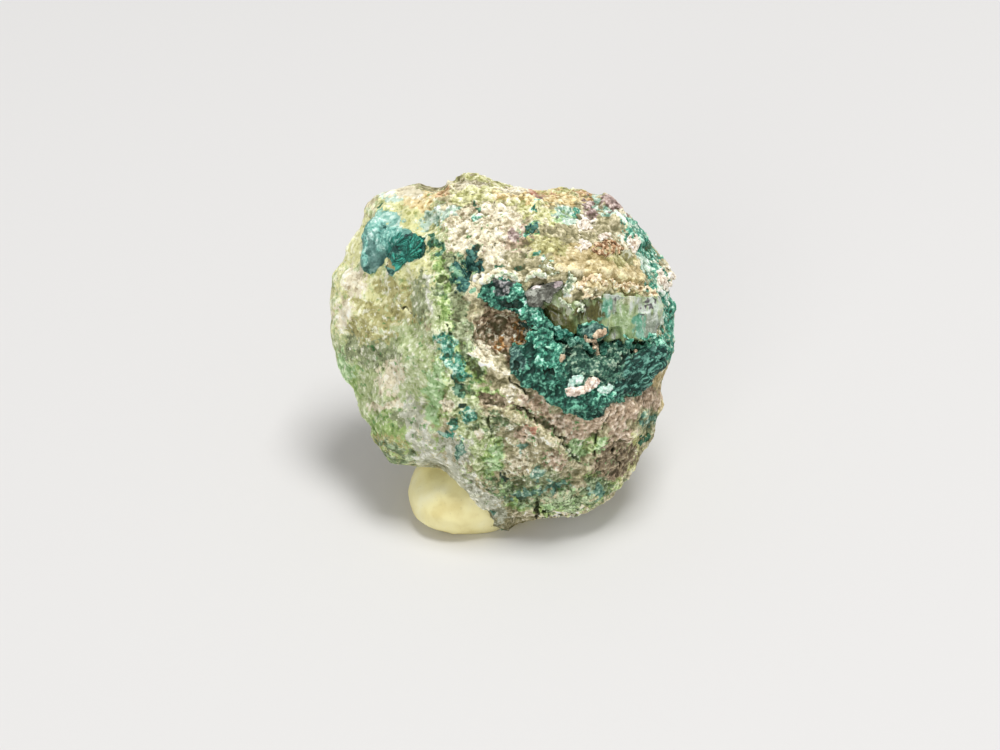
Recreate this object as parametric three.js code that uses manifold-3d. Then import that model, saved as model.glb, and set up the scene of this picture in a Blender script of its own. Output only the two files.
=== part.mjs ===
// A bournonite specimen: a rounded lump of altered ore, overgrown with green copper minerals, that
// leans back on a pellet of mounting putty. Millimetres, +Z up, origin on the ground at the centre.
//
// The stone is drawn in its own frame: +X to the right, +Y up the display face and +Z out of it.
// One group then leans that frame back, so that the display face looks up at DISPLAY_ELEVATION.
import * as THREE from 'three';
import { ConvexGeometry } from 'three/addons/geometries/ConvexGeometry.js';
import { ImprovedNoise } from 'three/addons/math/ImprovedNoise.js';
import { mergeVertices } from 'three/addons/utils/BufferGeometryUtils.js';
import Module from 'manifold-3d';

// Driving dimensions.
const DISPLAY_ELEVATION = 35; // degrees above the horizontal that the display face looks
const HEART = new THREE.Vector3(0, 0, -1); // the point inside the stone that its radii start from
const STONE_LIFT = 0.4; // of the stone's lowest tip above the ground
const GROWTH_GAP = 0.3; // between the stone and what grows on it or holds it
const STONE_DETAIL = 12; // subdivisions of the stone's sphere of directions
const FRONT_CROWDING = 0.22; // how much the directions gather towards the display face
const EDGE_WEAR = 0.06; // radians over which the corners of the block are worn round
const EDGE_RAYS = 8; // rays around each direction that are averaged to wear the corners
const CHIP_DEPTH = 0.07; // share of the stone's radius that each broken flat takes off
const BROKEN_SURFACE = { width: 5.5, height: 0.7, layers: 3 }; // the stone's uneven fracture
const SURFACE_RIDGES = { width: 3.2, height: 0.6, layers: 2, crest: 0.3 }; // sharp rises on it

// The corners of the block, worn off later. RIM is the outline seen square on to the display face.
const RIM = [
  [-10.8, 15.6, -3], [-7.2, 15.8, -3], [-2.1, 16.7, -2.5], [0.9, 15.9, -2], [7.8, 15.5, -2.5],
  [10.4, 13.8, -2], [13.2, 11, -2], [16.2, 7.5, -1.5], [16.1, 3.8, -1.5], [15, -0.5, -1],
  [14.7, -5.3, -1.5], [14.2, -7.6, -1.5], [11.9, -10.5, -1], [9.8, -14, -1.5],
  [7.6, -16.1, -1.5], [4.2, -17, -1.6], [-0.8, -17.3, -1.5], [-3, -16.2, -1.6], [-10.7, -10.6, -2],
  [-13.4, -7.9, -2.5], [-15.3, -2.8, -3], [-16.6, 2.9, -3], [-15.9, 7.5, -3], [-13.7, 11.5, -3],
  [-12, 14.8, -3],
];
const FRONT = [
  [-6.3, 13.2, 4], [-6, 5.6, 7.6], [-5.2, -1.7, 8], [-2.6, -8.6, 5.4], [-0.4, -13.6, 1.4],
  [9.4, -9.4, 3.6], [8.2, -4.7, 7.6], [13.4, -3.2, 4.2], [8.9, 9, 6.2], [7.8, 4.6, 7.8],
  [2.3, 12.6, 4.7], [-12.2, 1.9, 3], [-10.2, -7.2, 2], [-11.4, 10.2, 1.4], [13.8, 5, 3.8],
  [4.4, -12.4, 2.6], [1.5, -3.5, 8.4],
];
const BACK = [
  [-8, 8, -10], [3, 9, -11.5], [10, 5, -9], [-11, 0, -9.5], [0, -2, -12], [9, -4, -9.5],
  [-6, -8.5, -7], [4, -10.5, -6.4], [-3, 13.6, -7.5], [7, 12.2, -7], [10, -9.3, -5.4],
];

// Swells and dents of the stone: where, how far they reach and how far they lift the surface.
const SWELLS = [
  { name: 'top left knob', at: [-8.8, 15.2, -3], reach: 2.6, lift: 0.5 },
  { name: 'saddle beside the knob', at: [-5.6, 15.6, -2], reach: 1.9, lift: -1.3 },
  { name: 'top hump', at: [-2.1, 15.6, 0], reach: 3, lift: 0.7 },
  { name: 'dip of the top edge', at: [3.6, 15.2, -1], reach: 3, lift: -0.7 },
  { name: 'right corner knob', at: [15.2, 7, -1], reach: 2.2, lift: 0.6 },
  { name: 'notch under the corner', at: [15.6, 5.2, -1], reach: 1.2, lift: -0.6 },
  { name: 'notch of the right edge', at: [14.8, -2.4, -1], reach: 1.5, lift: -0.5 },
  { name: 'pale granular swell', at: [-1.6, 10.2, 6.5], reach: 4, lift: 0.9 },
  { name: 'tan shelf', at: [7.4, 7.6, 7.4], reach: 5, lift: 0.9 },
  { name: 'hollow above the nodules', at: [-7.6, 12.2, 4], reach: 2.4, lift: -0.9 },
  { name: 'rib of the ridge', at: [-5.4, 2, 8.6], reach: 3, lift: 0.5 },
  { name: 'lower rib of the ridge', at: [-2.6, -8.6, 6.6], reach: 3, lift: 0.7 },
  { name: 'sunken left face', at: [-10.5, 3, 5], reach: 5, lift: -0.8 },
  { name: 'green lobe', at: [-10.8, -8.6, 1.5], reach: 3.6, lift: 0.8 },
  { name: 'putty seat', at: [-7, -13.6, -0.5], reach: 4.8, lift: -2.6 },
  { name: 'right end of the putty seat', at: [-4.2, -15.8, 0], reach: 3, lift: -1.4 },
  { name: 'tip of the stone', at: [-0.6, -15.4, -0.6], reach: 2.8, lift: 1.1 },
  { name: 'lower block', at: [3.4, -9.4, 5.4], reach: 4.4, lift: 0.9 },
  { name: 'groove right of the lower block', at: [8, -10, 5.4], reach: 2.4, lift: -0.8 },
  { name: 'lower right swell', at: [12, -6.4, 4.6], reach: 3.2, lift: 0.8 },
  { name: 'matrix under the ledge', at: [8.2, -5.8, 8.2], reach: 3.4, lift: 0.6 },
];

// Flats where pieces have broken off: the way each one faces. They are kept nearly even.
const CHIP_ROUGH = 0.7; // share of the stone's unevenness that a flat keeps
const NEARLY_FACING = 0.5; // cosine within which a direction can meet a flat
const CHIPS = [
  [0.5, 0.3, -0.81], [-0.52, 0.2, -0.83], [0.05, -0.5, -0.86], [-0.1, 0.62, -0.78],
  [0.05, 0.05, -1], [0.5, -0.3, -0.82], [-0.45, -0.45, -0.78],
];

// Cavities of the display face: where across and up it, how far their middle lies under the
// surface, half sizes, and turns about the axis out of the face and about the upward one.
const CAVITY_WALL = { roughness: 0.3, lumps: 1.9 }; // how far, and how often, a wall is uneven
const WIDE_CAVITY = 2; // half size above which a cavity's wall gets more facets
const CAVITIES = [
  { name: 'rusty hollow', at: [-0.4, 1.7], sunk: -0.3, half: [3, 2.3, 2.3], turn: -0.35, yaw: 0.25 },
  { name: 'left of the step', at: [5.4, 2.1], sunk: 0.2, half: [2.3, 2.9, 2.9], turn: 0, yaw: 0 },
  { name: 'middle of the step', at: [8.4, 1.6], sunk: 0, half: [2.8, 3.6, 3.3], turn: 0, yaw: 0 },
  { name: 'right of the step', at: [11.6, 2], sunk: -0.6, half: [2.8, 3.3, 2.7], turn: 0, yaw: 0.4 },
  { name: 'dark crevice', at: [-3.3, 7.2], sunk: 0.2, half: [0.9, 2, 1.5], turn: 0.3, yaw: 0 },
  { name: 'teal pit', at: [2.3, 10.8], sunk: 0.1, half: [0.9, 0.6, 0.9], turn: 0.3, yaw: 0 },
  { name: 'hole of the block', at: [0.1, -11.1], sunk: 0, half: [0.4, 0.5, 0.9], turn: 0.6, yaw: 0 },
];

// The main crack below the ledge: its course across and up the face, its width and its depth.
const CRACK = [[-2, -4.9], [0.3, -5], [1.3, -5.4], [3.4, -6.7], [5.3, -8.1], [6.9, -10]];
const CRACK_WIDTH = 0.42;
const CRACK_DEPTH = 1.1;
const CRACK_END = { width: 0.16, depth: 0.3 }; // where it closes at both ends
const CRACK_MARGIN = { above: 1, below: 0.2 }; // of its wedges' upper edges around the surface

// The malachite crust: the outline it covers across and up the face, and its thickness there.
const MALACHITE_OUTLINE = [
  [-2.1, 6], [0.3, 6.5], [1.4, 5.8], [2.2, 4.3], [3.5, 3.6], [3.9, 2.3], [4.9, 1.2], [6.2, 1],
  [6.6, 2.3], [7.7, 2.8], [8.9, 2.6], [10.3, 0.8], [11.9, 0.5], [13.3, 1.4], [14.3, 0.8],
  [14.3, -0.6], [13.3, -2.6], [12.2, -4], [10, -4.8], [8.6, -5.9], [6.5, -6], [5, -5],
  [3.5, -4.1], [1.5, -3], [0.3, -1.5], [0.3, 0], [1.9, 0.7], [2.3, 2], [1.1, 3.4], [-1.1, 3.8],
  [-2, 4.7],
];
const MALACHITE_THICKNESS = 0.9;
const OUTLINE_REACH = 14; // how far out of the face the outline is carried to cut the crust

// Lumps of each crust: where across and up the display face, and half sizes across, up and out.
const MALACHITE_LUMPS = [
  [-1.2, 5, 1.3, 1.1, 1.2], [0.3, 5.2, 1.1, 1.2, 1.1], [1.7, 4.1, 0.8, 0.8, 0.9],
  [2.9, 3.1, 0.9, 0.8, 1], [3.1, 1.7, 0.9, 0.9, 1.1], [1.4, -0.4, 1.1, 1, 1.3],
  [3, 0.3, 1.1, 1.1, 1.5], [1.3, -1.7, 1, 0.9, 1.2], [3.2, -1.3, 1.3, 1.2, 1.6],
  [4.5, 0, 0.9, 1, 1.1], [4.4, -2.9, 1.2, 1.1, 1.4], [2.9, -3, 0.9, 0.8, 1],
  [5.9, -4.6, 1.2, 1.1, 1.3], [7.6, -5, 1.3, 0.9, 1.2], [9.1, -4.3, 1, 0.8, 1.1],
  [10.6, -3.5, 1.1, 0.9, 1.2], [12, -2.7, 1.2, 0.9, 1.2], [13.1, -1.3, 1.1, 1, 1.1],
  [10.9, -0.9, 1, 0.5, 0.7],
];
const LUMPS_BY_THE_CRYSTALS = [
  [13.6, 0.2, 0.8, 0.7, 1], [12.2, 0.3, 1, 0.6, 0.9], [7.8, 1.7, 1.5, 0.9, 1.1],
];
const KNOBBLY = { roughness: 0.3, sunk: 0, clearance: 0 }; // malachite
const WAXY = { roughness: 0.15, sunk: 0.1, clearance: 0 }; // the smoother blue-green nodules
const LUMP_UNEVENNESS = 1.6; // bumps along a lump's radius
const WIDE_LUMP = 1; // half size above which a lump gets more facets
const NODULE_LUMPS = [
  [-12, 10.4, 1.6, 1.8, 1.1], [-12, 8.5, 1.7, 1.7, 1.1], [-10.5, 9.9, 1.3, 1.3, 1.1],
  [-9.3, 9.8, 1.2, 1.1, 1.3], [-9.4, 8.5, 1.1, 1, 1.1], [-8, 9, 1.2, 1.2, 1.3],
  [-10.2, 7.4, 0.8, 0.9, 0.7],
];

// Crystals of the step: the middle of the foot, width, thickness, length and sideways lean.
const CRYSTALS = [
  { foot: [4.9, 4.5, 7.2], width: 2.6, thickness: 1.9, length: 3.6, lean: 0.2 },
  { foot: [6.6, 4.8, 7.2], width: 2.2, thickness: 1.8, length: 3.6, lean: -0.1 },
  { foot: [8.2, 5, 7], width: 2, thickness: 1.7, length: 4.2, lean: 0.06 },
  { foot: [9.6, 5.1, 6.8], width: 2.4, thickness: 1.9, length: 5.1, lean: 0 },
  { foot: [11.2, 5, 6.3], width: 2, thickness: 1.6, length: 4.6, lean: -0.08 },
  { foot: [12.5, 4.7, 5.7], width: 1.7, thickness: 1.4, length: 4, lean: 0.05 },
];
const CRYSTAL_BED = { middle: [8.6, 4.2, 6.2], half: [4.6, 1, 0.9], yaw: 0.16 }; // that joins them
const CRYSTAL_OUTWARD_LEAN = 0.15; // radians that their tips lean out of the step
const CRYSTAL_SIDES = 6;
const CRYSTAL_TIP = 0.3; // share of a crystal's length that is its pointed end

// The putty pellet: its middle and half sizes, in the part's own frame before it is centred. Its
// long way runs from the front left to the back right, under the stone's middle.
const PUTTY_MIDDLE = [-1.1, -1.5, 2.3];
const PUTTY_HALF = [9.5, 6.6, 4];
const PUTTY_TURN = 45; // degrees from +X to its long way
const PUTTY_PRINTS = { depth: 0.05, often: 1.3, from: [9, 3, 0] }; // left by fingers and thumbs
const GROUND_SIZE = [40, 40, 10]; // of the block that cuts the pellet flat

const BEYOND_THE_STONE = 20; // a distance from its heart that no point of the stone reaches
const HALVINGS = 24; // of the stretch in which a point of the surface is looked for

const wasm = await Module();
wasm.setup();
const noise = new ImprovedNoise();

function solidOf(geometry) {
  const bare = geometry.clone();
  bare.deleteAttribute('normal');
  bare.deleteAttribute('uv');
  const merged = mergeVertices(bare, 1e-4);
  return new wasm.Manifold(new wasm.Mesh({
    numProp: 3,
    vertProperties: merged.attributes.position.array,
    triVerts: new Uint32Array(merged.index.array),
  }));
}

function geometryOf(solid) {
  const { numProp, vertProperties, triVerts } = solid.getMesh();
  const points = new Float32Array((vertProperties.length / numProp) * 3);
  for (let i = 0; i * numProp < vertProperties.length; i++) {
    points.set(vertProperties.subarray(i * numProp, i * numProp + 3), i * 3);
  }
  const geometry = new THREE.BufferGeometry();
  geometry.setAttribute('position', new THREE.BufferAttribute(points, 3));
  geometry.setIndex(new THREE.BufferAttribute(triVerts, 1));
  geometry.computeVertexNormals();
  return geometry;
}

// The largest of a solid's separate bodies, so that no crumb is left by a cut.
function mainBody(solid) {
  return solid.decompose().reduce((a, b) => (a.volume() > b.volume() ? a : b));
}

function fuse(solids) {
  return solids.reduce((whole, next) => whole.add(next));
}

// Layers of ever finer noise, about -1 to 1, with swellings of the given width at the coarsest.
function fractalNoise(point, width, layers) {
  let sum = 0;
  let share = 1;
  let frequency = 1 / width;
  for (let i = 0; i < layers; i++) {
    const offset = 31.7 * i + 4.3; // each layer reads another part of the noise
    const [x, y, z] = [point.x, point.y, point.z].map((k) => k * frequency + offset);
    sum += share * noise.noise(x, y, z);
    share *= 0.55;
    frequency *= 2;
  }
  return sum;
}

// The faces of the block around HEART: each one's outward normal and its distance.
function blockFaces() {
  const corners = [...RIM, ...FRONT, ...BACK].map((p) => new THREE.Vector3(...p).sub(HEART));
  const hull = new ConvexGeometry(corners).getAttribute('position');
  const faces = [];
  for (let i = 0; i < hull.count; i += 3) {
    const [a, b, c] = [0, 1, 2].map((k) => new THREE.Vector3().fromBufferAttribute(hull, i + k));
    const normal = b.clone().sub(a).cross(c.clone().sub(a)).normalize();
    faces.push({ normal, distance: normal.dot(a) });
  }
  return faces;
}
const faces = blockFaces();

function blockRadius(direction) {
  let radius = Infinity;
  for (const { normal, distance } of faces) {
    const facing = normal.dot(direction);
    if (facing > 1e-6) radius = Math.min(radius, distance / facing);
  }
  return radius;
}

// The block's radius with its edges worn: the mean along the ray and a ring of rays around it.
function wornRadius(direction) {
  const side = new THREE.Vector3(0.31, 0.95, 0.05).cross(direction).normalize();
  const up = direction.clone().cross(side);
  let sum = 0;
  for (let i = 0; i < EDGE_RAYS; i++) {
    const angle = (i * 2 * Math.PI) / EDGE_RAYS;
    const near = direction.clone()
      .addScaledVector(side, EDGE_WEAR * Math.cos(angle))
      .addScaledVector(up, EDGE_WEAR * Math.sin(angle));
    sum += blockRadius(near.normalize());
  }
  const middleWeight = 2;
  return (sum + middleWeight * blockRadius(direction)) / (EDGE_RAYS + middleWeight);
}

const chips = CHIPS.map((way) => {
  const normal = new THREE.Vector3(...way).normalize();
  return { normal, distance: blockRadius(normal) * (1 - CHIP_DEPTH) };
});

function swellLift(point) {
  let lift = 0;
  for (const swell of SWELLS) {
    const t = point.distanceTo(new THREE.Vector3(...swell.at)) / swell.reach;
    if (t < 1) lift += swell.lift * (1 - t * t) ** 2;
  }
  return lift;
}

function stoneRadius(direction) {
  const base = wornRadius(direction);
  const point = HEART.clone().addScaledVector(direction, base);
  const { width, height, layers } = BROKEN_SURFACE;
  const broken = height * fractalNoise(point, width, layers);
  const ridges = SURFACE_RIDGES;
  const ridged = ridges.height
    * (ridges.crest - Math.abs(fractalNoise(point, ridges.width, ridges.layers)));
  let radius = base + swellLift(point) + broken + ridged;
  for (const { normal, distance } of chips) {
    const facing = normal.dot(direction);
    if (facing > NEARLY_FACING) radius = Math.min(radius, (distance + CHIP_ROUGH * broken) / facing);
  }
  return radius;
}

// The stone's outside, grown outwards by a clearance, before its cavities are cut.
function stoneGeometry(clearance) {
  const sphere = new THREE.IcosahedronGeometry(1, STONE_DETAIL);
  const places = sphere.getAttribute('position');
  const direction = new THREE.Vector3();
  const known = new Map(); // corners that lie together get one and the same place
  for (let i = 0; i < places.count; i++) {
    direction.fromBufferAttribute(places, i).normalize();
    const key = direction.toArray().map((x) => x.toFixed(5)).join();
    if (!known.has(key)) {
      const gathered = direction.clone();
      gathered.z += FRONT_CROWDING;
      gathered.normalize();
      known.set(key, HEART.clone().addScaledVector(gathered, stoneRadius(gathered) + clearance));
    }
    places.setXYZ(i, ...known.get(key).toArray());
  }
  return sphere;
}

// The point of the uncut stone's front that lies at (across, up) on the display face.
function onStone(across, up) {
  let [inside, outside] = [HEART.z, BEYOND_THE_STONE];
  for (let i = 0; i < HALVINGS; i++) {
    const middle = (inside + outside) / 2;
    const arm = new THREE.Vector3(across, up, middle).sub(HEART);
    if (arm.length() < stoneRadius(arm.clone().normalize())) inside = middle;
    else outside = middle;
  }
  return new THREE.Vector3(across, up, inside);
}

// One cavity, shrunk by a clearance, with a broken rather than a smooth wall.
function cavitySolid({ at, sunk, half, turn, yaw }, clearance) {
  const ball = new THREE.IcosahedronGeometry(1, half[0] > WIDE_CAVITY ? 2 : 1);
  const places = ball.getAttribute('position');
  const point = new THREE.Vector3();
  for (let i = 0; i < places.count; i++) {
    point.fromBufferAttribute(places, i).normalize();
    const seen = point.clone().multiplyScalar(CAVITY_WALL.lumps).addScalar(at[0]);
    point.multiplyScalar(1 + CAVITY_WALL.roughness * noise.noise(seen.x, seen.y, seen.z));
    places.setXYZ(i, ...point.toArray());
  }
  ball.scale(...half.map((k) => Math.max(k - clearance, 0.1)));
  ball.rotateY(yaw);
  ball.rotateZ(turn);
  const middle = onStone(...at);
  ball.translate(middle.x, middle.y, middle.z - sunk);
  return solidOf(ball);
}

// The stone, grown by a clearance, with its cavities cut but not its crack.
function brokenStone(clearance) {
  const cavities = CAVITIES.map((cavity) => cavitySolid(cavity, clearance));
  return mainBody(solidOf(stoneGeometry(clearance)).subtract(fuse(cavities)));
}

// The crack as a chain of wedges, each one open at the surface and sharp at its foot.
function crackSolid() {
  const stations = CRACK.map(([across, up], i) => {
    const ends = i === 0 || i === CRACK.length - 1;
    const half = (ends ? CRACK_END.width : CRACK_WIDTH) / 2;
    const surface = onStone(across, up).z;
    const [above, below] = [surface + CRACK_MARGIN.above, surface - CRACK_MARGIN.below];
    return [
      new THREE.Vector3(across - half, up - half, above),
      new THREE.Vector3(across + half, up + half, above),
      new THREE.Vector3(across - half, up - half, below),
      new THREE.Vector3(across + half, up + half, below),
      new THREE.Vector3(across, up, surface - (ends ? CRACK_END.depth : CRACK_DEPTH)),
    ];
  });
  return fuse(stations.slice(1).map((station, i) => (
    solidOf(new ConvexGeometry([...stations[i], ...station])))));
}

// The lumps of a crust, each one a knobbly ball whose middle is at a depth in the stone.
function lumps(rows, { roughness, sunk, clearance }) {
  return fuse(rows.map(([across, up, ...half]) => {
    const ball = new THREE.IcosahedronGeometry(1, half[0] > WIDE_LUMP ? 1 : 0);
    const places = ball.getAttribute('position');
    const middle = onStone(across, up);
    const point = new THREE.Vector3();
    for (let i = 0; i < places.count; i++) {
      point.fromBufferAttribute(places, i).normalize();
      const seen = point.clone().multiplyScalar(LUMP_UNEVENNESS).add(middle);
      point.multiplyScalar(1 + roughness * noise.noise(seen.x, seen.y, seen.z));
      places.setXYZ(i, ...point.toArray());
    }
    ball.scale(...half.map((k) => k + clearance));
    ball.translate(middle.x, middle.y, middle.z - sunk);
    return solidOf(ball);
  }));
}

// The blanket that the malachite lumps stand on: the stone's own surface, thickened.
function malachiteBlanket(clearance) {
  const outline = new THREE.Shape(MALACHITE_OUTLINE.map(([x, y]) => new THREE.Vector2(x, y)));
  const depth = OUTLINE_REACH;
  const column = new THREE.ExtrudeGeometry(outline, { depth, bevelEnabled: false });
  return brokenStone(MALACHITE_THICKNESS + clearance).intersect(solidOf(column));
}

function malachiteCrustSolid() {
  const knobs = lumps([...MALACHITE_LUMPS, ...LUMPS_BY_THE_CRYSTALS], KNOBBLY);
  const grown = malachiteBlanket(0).add(knobs);
  return mainBody(grown.subtract(brokenStone(GROWTH_GAP)));
}

function noduleCrustSolid() {
  const grown = lumps(NODULE_LUMPS, WAXY);
  return mainBody(grown.subtract(brokenStone(GROWTH_GAP)));
}

function hostRockSolid() {
  return mainBody(brokenStone(0).subtract(crackSolid()));
}

// A column with flat faces that hangs from its foot and ends in a point.
function crystalSolid({ foot, width, thickness, length, lean }) {
  const tip = length * CRYSTAL_TIP;
  const shaft = new THREE.CylinderGeometry(0.5, 0.5, length - tip, CRYSTAL_SIDES);
  shaft.translate(0, -(length - tip) / 2, 0);
  const point = new THREE.CylinderGeometry(0.5, 0.12, tip, CRYSTAL_SIDES);
  point.translate(0, -(length - tip) - tip / 2, 0);
  const whole = [shaft, point].map((piece) => {
    piece.scale(width, 1, thickness);
    piece.rotateX(-CRYSTAL_OUTWARD_LEAN);
    piece.rotateZ(lean);
    piece.translate(...foot);
    return solidOf(piece);
  });
  return fuse(whole);
}

function stepCrystalsSolid() {
  const knobs = lumps(LUMPS_BY_THE_CRYSTALS, { ...KNOBBLY, clearance: GROWTH_GAP });
  const bed = new THREE.IcosahedronGeometry(1, 1);
  bed.scale(...CRYSTAL_BED.half);
  bed.rotateY(CRYSTAL_BED.yaw);
  bed.translate(...CRYSTAL_BED.middle);
  return mainBody(fuse([solidOf(bed), ...CRYSTALS.map(crystalSolid)])
    .subtract(brokenStone(GROWTH_GAP))
    .subtract(malachiteBlanket(GROWTH_GAP))
    .subtract(knobs));
}

function puttySolid(stoneInPlace) {
  const pellet = new THREE.SphereGeometry(1, 22, 12);
  const places = pellet.getAttribute('position');
  const point = new THREE.Vector3();
  for (let i = 0; i < places.count; i++) {
    point.fromBufferAttribute(places, i);
    const seen = point.clone().multiplyScalar(PUTTY_PRINTS.often)
      .add(new THREE.Vector3(...PUTTY_PRINTS.from));
    const pressed = 1 + PUTTY_PRINTS.depth * noise.noise(seen.x, seen.y, seen.z);
    places.setXYZ(i, ...point.multiplyScalar(pressed).toArray());
  }
  pellet.rotateX(Math.PI / 2);
  pellet.scale(...PUTTY_HALF);
  pellet.rotateZ(THREE.MathUtils.degToRad(PUTTY_TURN));
  pellet.translate(...PUTTY_MIDDLE);
  const ground = new THREE.BoxGeometry(...GROUND_SIZE);
  ground.translate(0, 0, -GROUND_SIZE[2] / 2);
  return mainBody(solidOf(pellet).subtract(solidOf(ground)).subtract(stoneInPlace));
}

function mesh(name, solid, color, roughness, metalness = 0) {
  const material = new THREE.MeshStandardMaterial({ color, roughness, metalness });
  const made = new THREE.Mesh(geometryOf(solid), material);
  made.name = name;
  return made;
}

// The stone and its crusts, leaned back, with the display face towards -Y.
const leaning = new THREE.Group();
const hostRock = mesh('host_rock', hostRockSolid(), 0xb9bd93, 0.9);
leaning.add(
  hostRock,
  mesh('malachite_crust', malachiteCrustSolid(), 0x14705a, 0.6),
  mesh('blue_green_nodules', noduleCrustSolid(), 0x2f9188, 0.5),
  mesh('step_crystals', stepCrystalsSolid(), 0x9fb98a, 0.2),
);
leaning.rotation.x = THREE.MathUtils.degToRad(90 - DISPLAY_ELEVATION);
leaning.position.z = STONE_LIFT - new THREE.Box3().setFromObject(leaning, true).min.z;
leaning.updateMatrix();

const standing = new THREE.Group();
const stoneInPlace = solidOf(stoneGeometry(GROWTH_GAP).applyMatrix4(leaning.matrix));
standing.add(leaning, mesh('mounting_putty', puttySolid(stoneInPlace), 0xd9cf86, 0.7));

// The origin goes on the ground under the middle of the whole specimen.
const box = new THREE.Box3().setFromObject(standing, true);
const middle = box.getCenter(new THREE.Vector3());
standing.position.set(-middle.x, -middle.y, -box.min.z);

const specimen = new THREE.Group();
specimen.add(standing);

export default specimen;
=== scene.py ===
# %% [markdown]
# A bournonite specimen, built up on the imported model. It is a lump of altered ore, 32 mm wide, that
# leans back on a pellet of mounting putty. Green malachite, blue-green nodules and pale crystals have
# grown on its display face. Blender works in metres, so a number times MM is a size in millimetres,
# and the model stands on z = 0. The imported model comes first, because every piece takes its place
# and size from it. Its box is kept, to compare with the finished one at the end.

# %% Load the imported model
import math
import random

import bpy
import numpy as np
from mathutils import Matrix, Vector
from mathutils import noise as noise_field
from mathutils.bvhtree import BVHTree


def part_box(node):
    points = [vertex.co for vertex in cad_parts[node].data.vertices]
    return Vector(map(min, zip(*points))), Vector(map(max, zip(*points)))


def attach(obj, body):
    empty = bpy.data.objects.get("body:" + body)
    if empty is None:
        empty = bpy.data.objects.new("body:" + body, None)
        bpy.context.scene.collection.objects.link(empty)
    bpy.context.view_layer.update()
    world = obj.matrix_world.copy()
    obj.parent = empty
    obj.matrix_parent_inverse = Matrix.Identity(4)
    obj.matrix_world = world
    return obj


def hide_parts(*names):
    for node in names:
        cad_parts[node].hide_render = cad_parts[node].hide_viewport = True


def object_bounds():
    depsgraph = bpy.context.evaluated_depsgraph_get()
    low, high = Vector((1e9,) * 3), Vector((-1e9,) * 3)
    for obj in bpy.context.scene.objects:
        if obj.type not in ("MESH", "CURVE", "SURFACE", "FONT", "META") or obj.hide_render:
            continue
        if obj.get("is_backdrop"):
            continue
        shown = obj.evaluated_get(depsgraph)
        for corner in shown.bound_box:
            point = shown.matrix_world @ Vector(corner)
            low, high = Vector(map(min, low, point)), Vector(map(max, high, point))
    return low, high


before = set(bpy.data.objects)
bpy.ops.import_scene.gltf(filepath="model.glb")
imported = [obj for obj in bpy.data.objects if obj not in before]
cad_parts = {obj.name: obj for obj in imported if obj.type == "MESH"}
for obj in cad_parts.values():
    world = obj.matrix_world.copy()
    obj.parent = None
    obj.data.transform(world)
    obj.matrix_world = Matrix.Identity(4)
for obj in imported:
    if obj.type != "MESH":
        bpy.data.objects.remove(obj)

MM = 0.001
cad_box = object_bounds()
for node in sorted(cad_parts):
    low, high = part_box(node)
    print(node, "spans", [round(side / MM, 2) for side in high - low], "mm")

# %% [markdown]
# The stone leans back, so that its display face looks up at 35 degrees. Marks on that face are
# easiest to place the way a collector would point at them: so far across and so far up from the
# heart of the stone, as an eye 260 mm in front of the face sees them. These lines set up that view,
# and turn the surface's points from metres in the model into millimetres on the face. Every mark
# below is given in those millimetres.

# %% The display view
DISPLAY_ELEVATION = math.radians(35)
HEART = Vector((0.13, -1.33, 15.27)) * MM
ACROSS = Vector((1, 0, 0))
UP = Vector((0, math.sin(DISPLAY_ELEVATION), math.cos(DISPLAY_ELEVATION)))
OUT = Vector((0, -math.cos(DISPLAY_ELEVATION), math.sin(DISPLAY_ELEVATION)))
EYE_DISTANCE = 260
EYE = HEART + OUT * EYE_DISTANCE * MM


def on_the_face(points):
    """How far across and up the display face points are seen, and how far out they lie, in mm."""
    arms = (np.asarray(points) - np.array(HEART)) / MM
    across, up, out = (arms @ np.array(way) for way in (ACROSS, UP, OUT))
    spread = EYE_DISTANCE / (EYE_DISTANCE - out)
    return across * spread, up * spread, out


print("the eye is at", [round(k / MM, 1) for k in EYE], "mm")

# %% [markdown]
# The camera stands where that eye is, and looks straight at the display face with a long lens, as
# for a close-up of a small stone. The lens follows from the width of view, in mm, at the heart's
# distance. The small shifts only frame the stone a little above and right of the picture's middle.

# %% The camera
VIEW_WIDTH = 91.7
HEART_RIGHT_OF_MIDDLE = 0.005
HEART_ABOVE_MIDDLE = 0.024
NEAREST_SEEN = 5 * MM

camera_data = bpy.data.cameras.new("display_camera")
camera_data.lens = camera_data.sensor_width * EYE_DISTANCE / VIEW_WIDTH
camera_data.shift_x = -HEART_RIGHT_OF_MIDDLE
camera_data.shift_y = -HEART_ABOVE_MIDDLE
camera_data.clip_start = NEAREST_SEEN
camera = bpy.data.objects.new("display_camera", camera_data)
camera.location = EYE
camera.rotation_euler = (math.pi / 2 - DISPLAY_ELEVATION, 0, 0)
bpy.context.scene.collection.objects.link(camera)
bpy.context.scene.camera = camera
print("lens", round(camera_data.lens, 1), "mm")

# %% [markdown]
# Soft light is what shows a pale, crumbly mineral best. A hard lamp would burn out the white grains
# and blacken the pits. So a broad panel hangs above, a weaker one fills in from the front, and the
# whole surround gives some light too. The plain view transform keeps each colour as it was mixed.
# The powers are in watts, and the sizes and the distance in metres.

# %% Studio light
SURROUND_LIGHT = 0.42
LAMPS = {
    "sky_panel": {"from": (0.15, -0.05, 0.95), "power": 3.65, "size": 0.25},
    "front_panel": {"from": (-0.3, -0.82, 0.4), "power": 0.95, "size": 0.3},
}
LAMP_DISTANCE = 0.7

for name, lamp in LAMPS.items():
    light = bpy.data.lights.new(name, "AREA")
    light.energy = lamp["power"]
    light.size = lamp["size"]
    stand = bpy.data.objects.new(name, light)
    way = Vector(lamp["from"]).normalized()
    stand.location = HEART + way * LAMP_DISTANCE
    stand.rotation_euler = way.to_track_quat("Z", "Y").to_euler()
    bpy.context.scene.collection.objects.link(stand)
    print(name, "at", [round(k, 2) for k in stand.location])

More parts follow.
